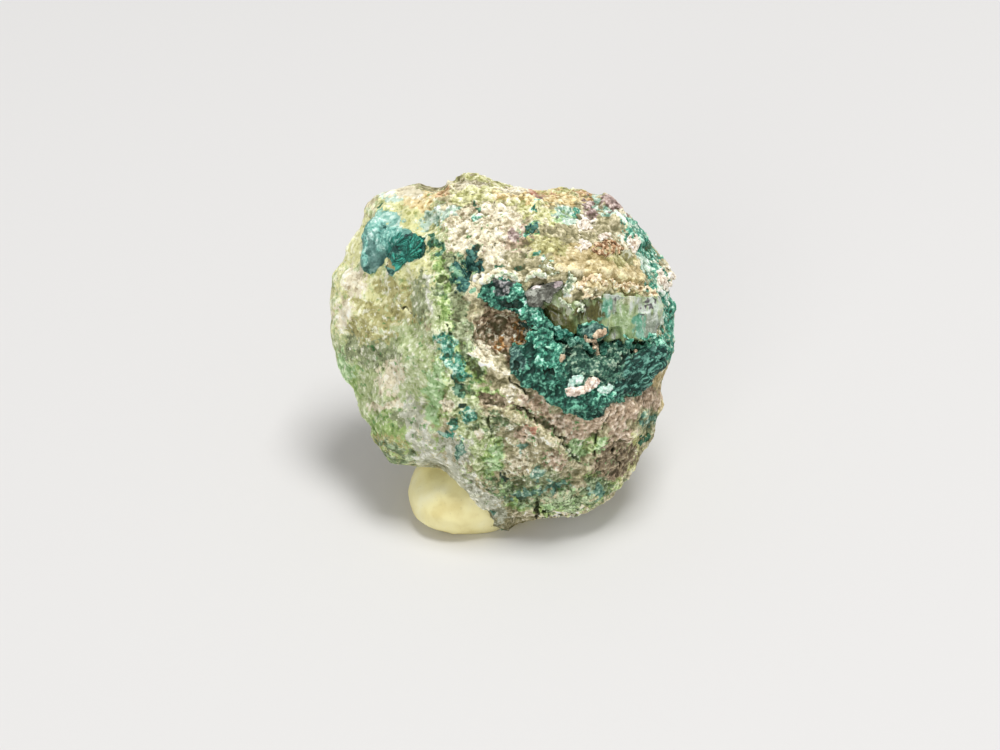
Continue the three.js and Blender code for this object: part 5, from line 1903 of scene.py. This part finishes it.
def bunch(name, surface, spots, count, radius, crumble, seed):
    """Balls at random places inside ellipses on the display face."""
    dice = random.Random(seed)
    balls = []
    for _ in range(count):
        across, up, reach = in_a_spot(dice, spots)
        place, normal = seen_on(surface, across, up)
        size = dice.uniform(*radius) * (BALL_TAPER[0] - BALL_TAPER[1] * reach)
        if place:
            balls.append((place + normal * BALL_SINK * size * MM, size))
    return melted_balls(name, balls, crumble)


WITH_WALLS = surface_of(stone, malachite, step_crystals, *walls)
for number, (name, look) in enumerate(CLUSTERS.items()):
    piece = bunch(name, WITH_WALLS, look["spots"], look["balls"], look["radius"],
                  look.get("crumble", 1.0), number)
    clothe(piece, crust_material(name, look["tones"]))
    settle(piece, look.get("slot", "host_rock"))

# %% [markdown]
# The ore that names the specimen shows as one plate of bournonite between the pale walls: grey metal
# with a violet tarnish and a broken lower edge. It starts as a circle whose corners are moved onto
# the plate's outline, is drawn out into a slab by an extrude, and is bevelled. Its outline is given
# across and up the display face, and its front and thickness are in mm too.

# %% The bournonite plate
PLATE_OUTLINE = [
    (1.8, 5.3), (2.7, 5.9), (4.1, 6.3), (5.3, 6.5), (5.4, 6.1), (4.9, 5.4), (4.5, 5.2), (4.3, 4.4),
    (4, 4.3), (3.5, 4.7), (3.3, 4.1), (2.7, 4), (2.1, 4.1), (2.1, 4.9),
]
PLATE_MARKS = {"lit_edge": [((3, 5.9), (0.9, 0.2), 12), ((4.7, 6), (0.7, 0.4), 10)]}
PLATE_FRONT = 8.9
PLATE_THICKNESS = 0.9
PLATE_LEAN = 0.35
PLATE_BEVEL = 0.07

plate = primitive_at_zero("bournonite_plate", lambda: bpy.ops.mesh.primitive_circle_add(
    vertices=len(PLATE_OUTLINE), fill_type="NGON"))
for corner, (across, up) in zip(plate.data.vertices, PLATE_OUTLINE):
    corner.co = at_sight(across, up, PLATE_FRONT - PLATE_LEAN * (up - PLATE_OUTLINE[0][1]))
in_edit_mode(
    plate,
    lambda: bpy.ops.mesh.extrude_region_move(
        TRANSFORM_OT_translate={"value": -OUT * PLATE_THICKNESS * MM}),
    lambda: bpy.ops.mesh.select_all(action="SELECT"),
    lambda: bpy.ops.mesh.normals_make_consistent(inside=False))
finish_with(plate, "BEVEL", width=PLATE_BEVEL * MM, segments=2)
remesh(plate, CLUSTER_VOXEL)
displace(plate, SWELLS, 0.25)
displace(plate, SMALL_CLASTS, 0.25)
displace(plate, FINE_GRAIN, 0.1)
store_crests(plate)
store_marks(plate, PLATE_MARKS)
print("the plate spans", spans(plate), "mm")

# %% [markdown]
# Tarnished ore is neither metal nor rock to the eye. A low metallic value keeps its grey glint, and
# the violet tones lie where the light strikes its upper edge.

# %% The plate's material
PLATE_TONES = ((0.025, 0.024, 0.019), (0.1, 0.1, 0.08), (0.31, 0.32, 0.27))
PLATE_FINISHES = {"lit_edge": ((0.12, 0.1, 0.1), (0.42, 0.35, 0.35), (0.8, 0.74, 0.71))}
PLATE_EDGES = {"lit_edge": {"raggedness": 1.2}}
PLATE_GRAIN = (1.1, 0.25)
PLATE_GLINTS = {"low": 0.3, "high": 0.9, "start": 0.75, "end": 0.5}
PLATE_SHINE = 0.3
PLATE_METAL = 0.3


def plate_material():
    """Grey ore with a painted highlight, in violet tarnish tones, along its upper edge."""
    material, tree, shader = new_material("tarnished_bournonite", PLATE_SHINE)
    grain = grain_at(tree, PLATE_GRAIN, kept(tree, "crest"))
    colour = layered(tree, grain, PLATE_TONES, PLATE_FINISHES, edges=PLATE_EDGES)
    wear(tree, shader, colour, rise(tree, grain["Cells"], **PLATE_GLINTS))
    shader.inputs["Metallic"].default_value = PLATE_METAL
    roughen(tree, shader, grain["Height"], strength=0.6, distance=0.06)
    return material


clothe(plate, plate_material())
settle(plate, "host_rock")

# %% [markdown]
# The putty pellet was rolled between finger and thumb and pressed flat under the stone. It starts
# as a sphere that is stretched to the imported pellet's size and turned the same way, with a smaller
# one for the edge that was squeezed out. A remesh runs them together, two soft noises give them the
# slight unevenness of a handled thing, and a bisect cuts them level with the ground.

# %% The putty pellet
PUTTY_TURN = math.radians(45)
PUTTY_HALF = Vector((9.4, 6.1, 4.0)) * MM
PUTTY_MIDDLE_HEIGHT = 2.3 * MM
PUTTY_BACK = 0.4 * MM
SQUEEZED_HALF = Vector((3.0, 1.5, 0.75)) * MM
SQUEEZED_AT = Vector((1.4, -5.3, 0.1)) * MM
PUTTY_VOXEL = 0.16 * MM
PUTTY_MELTING = 8
PRINTS = relief_texture("prints", "CLOUDS", 3.2, noise_depth=1)
CREASES = relief_texture("creases", "MUSGRAVE", 2.4, musgrave_type="RIDGED_MULTIFRACTAL")


def stretched_sphere(name, half, place):
    """A sphere that is stretched in edit mode and put in its place."""
    sphere = primitive_at_zero(name, lambda: bpy.ops.mesh.primitive_uv_sphere_add(
        segments=64, ring_count=32, radius=1))
    in_edit_mode(sphere, lambda: bpy.ops.transform.resize(value=half))
    sphere.data.transform(place)
    return sphere


low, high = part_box("mounting_putty")
middle = Vector(((low.x + high.x) / 2, (low.y + high.y) / 2 + PUTTY_BACK, PUTTY_MIDDLE_HEIGHT))
pellet_place = Matrix.Translation(middle) @ Matrix.Rotation(PUTTY_TURN, 4, "Z")
putty = join_pieces("putty_pellet", [
    stretched_sphere("pellet", PUTTY_HALF, pellet_place),
    stretched_sphere("squeezed_edge", SQUEEZED_HALF, Matrix.Translation(SQUEEZED_AT))])
remesh(putty, PUTTY_VOXEL)
melt(putty, PUTTY_MELTING)
displace(putty, PRINTS, 0.3)
displace(putty, CREASES, 0.08, level=0.8)
in_edit_mode(putty, lambda: bpy.ops.mesh.bisect(
    plane_co=(0, 0, 0), plane_no=(0, 0, 1), threshold=MERGE_DISTANCE, clear_inner=True,
    use_fill=True))
print("the pellet spans", spans(putty), "mm")

# %% [markdown]
# Putty is smooth and a little waxy, so it has no mineral grain. Soft clouds of three yellows show
# how it was kneaded, and a finer noise leaves grubby specks where fingers have been.

# %% The putty's material
PUTTY_COLOURS = ((0.82, 0.71, 0.32, 1), (0.94, 0.86, 0.45, 1), (0.97, 0.92, 0.58, 1))
GRUBBY_COLOUR = (0.45, 0.38, 0.18, 1)
GRUBBY_RISE = (0.62, 0.75)
GRUBBY_SHARE = 0.25
KNEADED_RISES = ((0.3, 0.55), (0.5, 0.8))
CLOUD_SIZE = 2.5 * MM
SPECK_SIZE = 0.25 * MM
PUTTY_ROUGHNESS = 0.55


def putty_material():
    """Kneaded yellow putty with grubby specks."""
    material, tree, shader = new_material("mounting_putty")
    place = on_the_piece(tree)
    cloud = noise_at(tree, place, 1 / CLOUD_SIZE, 3.0)[0]
    fine = noise_at(tree, place, 1 / SPECK_SIZE, 3.0)[0]
    colour, *paler = PUTTY_COLOURS
    for tone, limits in zip(paler, KNEADED_RISES):
        colour = lay_over(tree, rise(tree, cloud, *limits), colour, tone)
    grubby = reckon(tree, "MULTIPLY", rise(tree, fine, *GRUBBY_RISE), GRUBBY_SHARE)
    wear(tree, shader, lay_over(tree, grubby, colour, GRUBBY_COLOUR), PUTTY_ROUGHNESS)
    roughen(tree, shader, fine, strength=0.15, distance=0.05)
    return material


clothe(putty, putty_material())
settle(putty, "putty", "mounting_putty")

# %% [markdown]
# The floor is plain and pale, so that nothing competes with the stone and its soft shadow shows. It
# isn't part of the specimen, and is declared as stage.

# %% The floor
FLOOR_SIZE = 4.0
FLOOR_COLOUR = (0.72, 0.71, 0.7, 1)
FLOOR_ROUGHNESS = 0.9
floor = primitive_at_zero("floor", lambda: bpy.ops.mesh.primitive_plane_add(size=FLOOR_SIZE))
floor_material, floor_tree, floor_shader = new_material("pale_floor")
wear(floor_tree, floor_shader, FLOOR_COLOUR, FLOOR_ROUGHNESS)
clothe(floor, floor_material)
floor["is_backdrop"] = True

# %% [markdown]
# Last, the finished model's box is printed beside the imported one. The fine relief may stand a few
# tenths of a millimetre proud of the imported solids.

# %% Print both sizes
bpy.ops.object.select_all(action="DESELECT")
finished_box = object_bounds()
sizes = {"cad": [list(corner) for corner in cad_box],
         "visual": [list(corner) for corner in finished_box]}
for name, (low, high) in sizes.items():
    print(name, [round((b - a) / MM, 2) for a, b in zip(low, high)], "mm")
